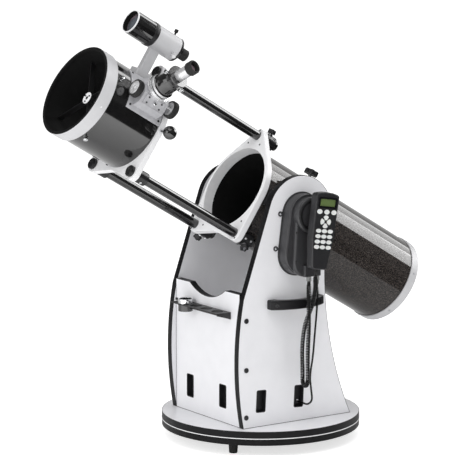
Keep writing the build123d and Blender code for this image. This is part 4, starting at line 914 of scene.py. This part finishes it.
def studio_floor():
    """A plain pale floor that glows: evenly to the camera, so that it stays white; as a light from below to
    other rays; and, to reflections only, more and more along FLOOR_ALONG up to an edge, a painted reflection
    on the glossy parts.
    """
    graph = Graph("studio_floor")
    graph.link(graph.mix(graph.noise(3.0), (0.86, 0.86, 0.86), (0.84, 0.84, 0.84)),
               graph.shader.inputs["Base Color"])
    graph.set(Roughness=0.9, Specular_IOR_Level=0.0, Emission_Color=(1, 1, 1, 1))
    rays = graph.node("ShaderNodeLightPath")
    glow = graph.node("ShaderNodeMix")
    glow.inputs["A"].default_value = BOUNCE_GLOW
    glow.inputs["B"].default_value = CAMERA_GLOW
    graph.link(rays.outputs["Is Camera Ray"], glow.inputs["Factor"])
    along = graph.node("ShaderNodeVectorMath", operation="DOT_PRODUCT")
    graph.link(graph.place, along.inputs[0])
    along.inputs[1].default_value = FLOOR_ALONG
    # Painted reflection: to glossy rays the floor's glow rises along FLOOR_ALONG.
    reflected = graph.node("ShaderNodeMix")
    graph.link(graph.spread(along.outputs["Value"], 0, REFLECTED_GLOW, 0.3, 1.1), reflected.inputs["B"])
    graph.link(rays.outputs["Is Glossy Ray"], reflected.inputs["Factor"])
    graph.link(glow.outputs["Result"], reflected.inputs["A"])
    graph.link(reflected.outputs["Result"], graph.shader.inputs["Emission Strength"])
    reach = graph.node("ShaderNodeVectorMath", operation="DOT_PRODUCT")
    graph.link(graph.place, reach.inputs[0])
    reach.inputs[1].default_value = FLOOR_EDGE_WAY
    beyond = graph.spread(reach.outputs["Value"], 0, 1, FLOOR_EDGE, FLOOR_EDGE + 0.02)
    unseen = graph.node("ShaderNodeMath", operation="MULTIPLY")
    graph.link(beyond, unseen.inputs[0])
    graph.link(rays.outputs["Is Glossy Ray"], unseen.inputs[1])
    dark = graph.node("ShaderNodeEmission")
    dark.inputs["Strength"].default_value = 0.0
    choose = graph.node("ShaderNodeMixShader")
    graph.link(unseen.outputs["Value"], choose.inputs["Fac"])
    graph.link(graph.shader.outputs["BSDF"], choose.inputs[1])
    graph.link(dark.outputs["Emission"], choose.inputs[2])
    graph.link(choose.outputs["Shader"], graph.tree.nodes["Material Output"].inputs["Surface"])
    return graph.material


floor_data = bpy.data.meshes.new("floor")
FLOOR = 60.0
floor_corners = [(-FLOOR, -FLOOR, 0), (FLOOR, -FLOOR, 0), (FLOOR, FLOOR, 0), (-FLOOR, FLOOR, 0)]
floor_data.from_pydata(floor_corners, [], [(0, 1, 2, 3)])
floor_data.materials.append(studio_floor())
floor = bpy.data.objects.new("floor", floor_data)
scene.collection.objects.link(floor)

WORLD_REFLECTED, WORLD_DIFFUSE, WORLD_CAMERA = 0.09, 0.62, 1.05
world = bpy.data.worlds.new("studio")
world.use_nodes = True
scene.world = world
tree = world.node_tree
rays = tree.nodes.new("ShaderNodeLightPath")
surface = tree.nodes["Background"].outputs["Background"]
tree.nodes["Background"].inputs["Color"].default_value = (1, 1, 1, 1)
tree.nodes["Background"].inputs["Strength"].default_value = WORLD_REFLECTED
for ray, strength in (("Is Diffuse Ray", WORLD_DIFFUSE), ("Is Camera Ray", WORLD_CAMERA)):
    background = tree.nodes.new("ShaderNodeBackground")
    background.inputs["Color"].default_value = (1, 1, 1, 1)
    background.inputs["Strength"].default_value = strength
    choose = tree.nodes.new("ShaderNodeMixShader")
    tree.links.new(rays.outputs[ray], choose.inputs["Fac"])
    tree.links.new(surface, choose.inputs[1])
    tree.links.new(background.outputs["Background"], choose.inputs[2])
    surface = choose.outputs["Shader"]
tree.links.new(surface, tree.nodes["World Output"].inputs["Surface"])
scene.view_settings.view_transform = "Standard"


def softbox(name, centre, target, size, power, across, only_gloss=False):
    """A rectangular light at a point, turned to a target, with its long side along a direction."""
    data = bpy.data.lights.new(name, "AREA")
    data.shape = "RECTANGLE"
    data.size, data.size_y = size
    data.energy = power
    light = bpy.data.objects.new(name, data)
    back = (centre - target).normalized()
    side = (across - back * across.dot(back)).normalized()
    facing = Matrix((side, back.cross(side), back)).transposed()
    light.matrix_world = Matrix.Translation(centre) @ facing.to_4x4()
    scene.collection.objects.link(light)
    if only_gloss:
        light.visible_diffuse = False
    return light


def reflected_from(angle, s):
    """Where the camera sees the tube's side at that angle reflect: a point, and a direction."""
    normal = outward(angle)
    place = on_tube(s, angle, 115)
    return place, (normal * 2 * normal.dot(CAMERA_BACK) - CAMERA_BACK).normalized()


REACH = 3.0
for name, angle, s, size, radiance in (
    ("rear_strip", 31.7, -130, (1.5, 1.45), 6.6),
    ("rear_fill", 46.2, -120, (2.4, 1.13), 3.1),
    ("rear_top", 66.0, -110, (3.2, 2.70), 0.6),
):
    place, way = reflected_from(angle, s)
    power = radiance * pi * size[0] * size[1]
    softbox(name, place + way * REACH, place, size, power, SKYWARD, only_gloss=True)
CENTRE = Vector((0, 0, 0.45))
softbox("key", Vector((0.4, -4.2, 2.0)), CENTRE, (2.6, 2.6), 44, RIGHT)
softbox("top", Vector((1.3, -1.0, 4.0)), CENTRE, (3.0, 3.0), 50, RIGHT)
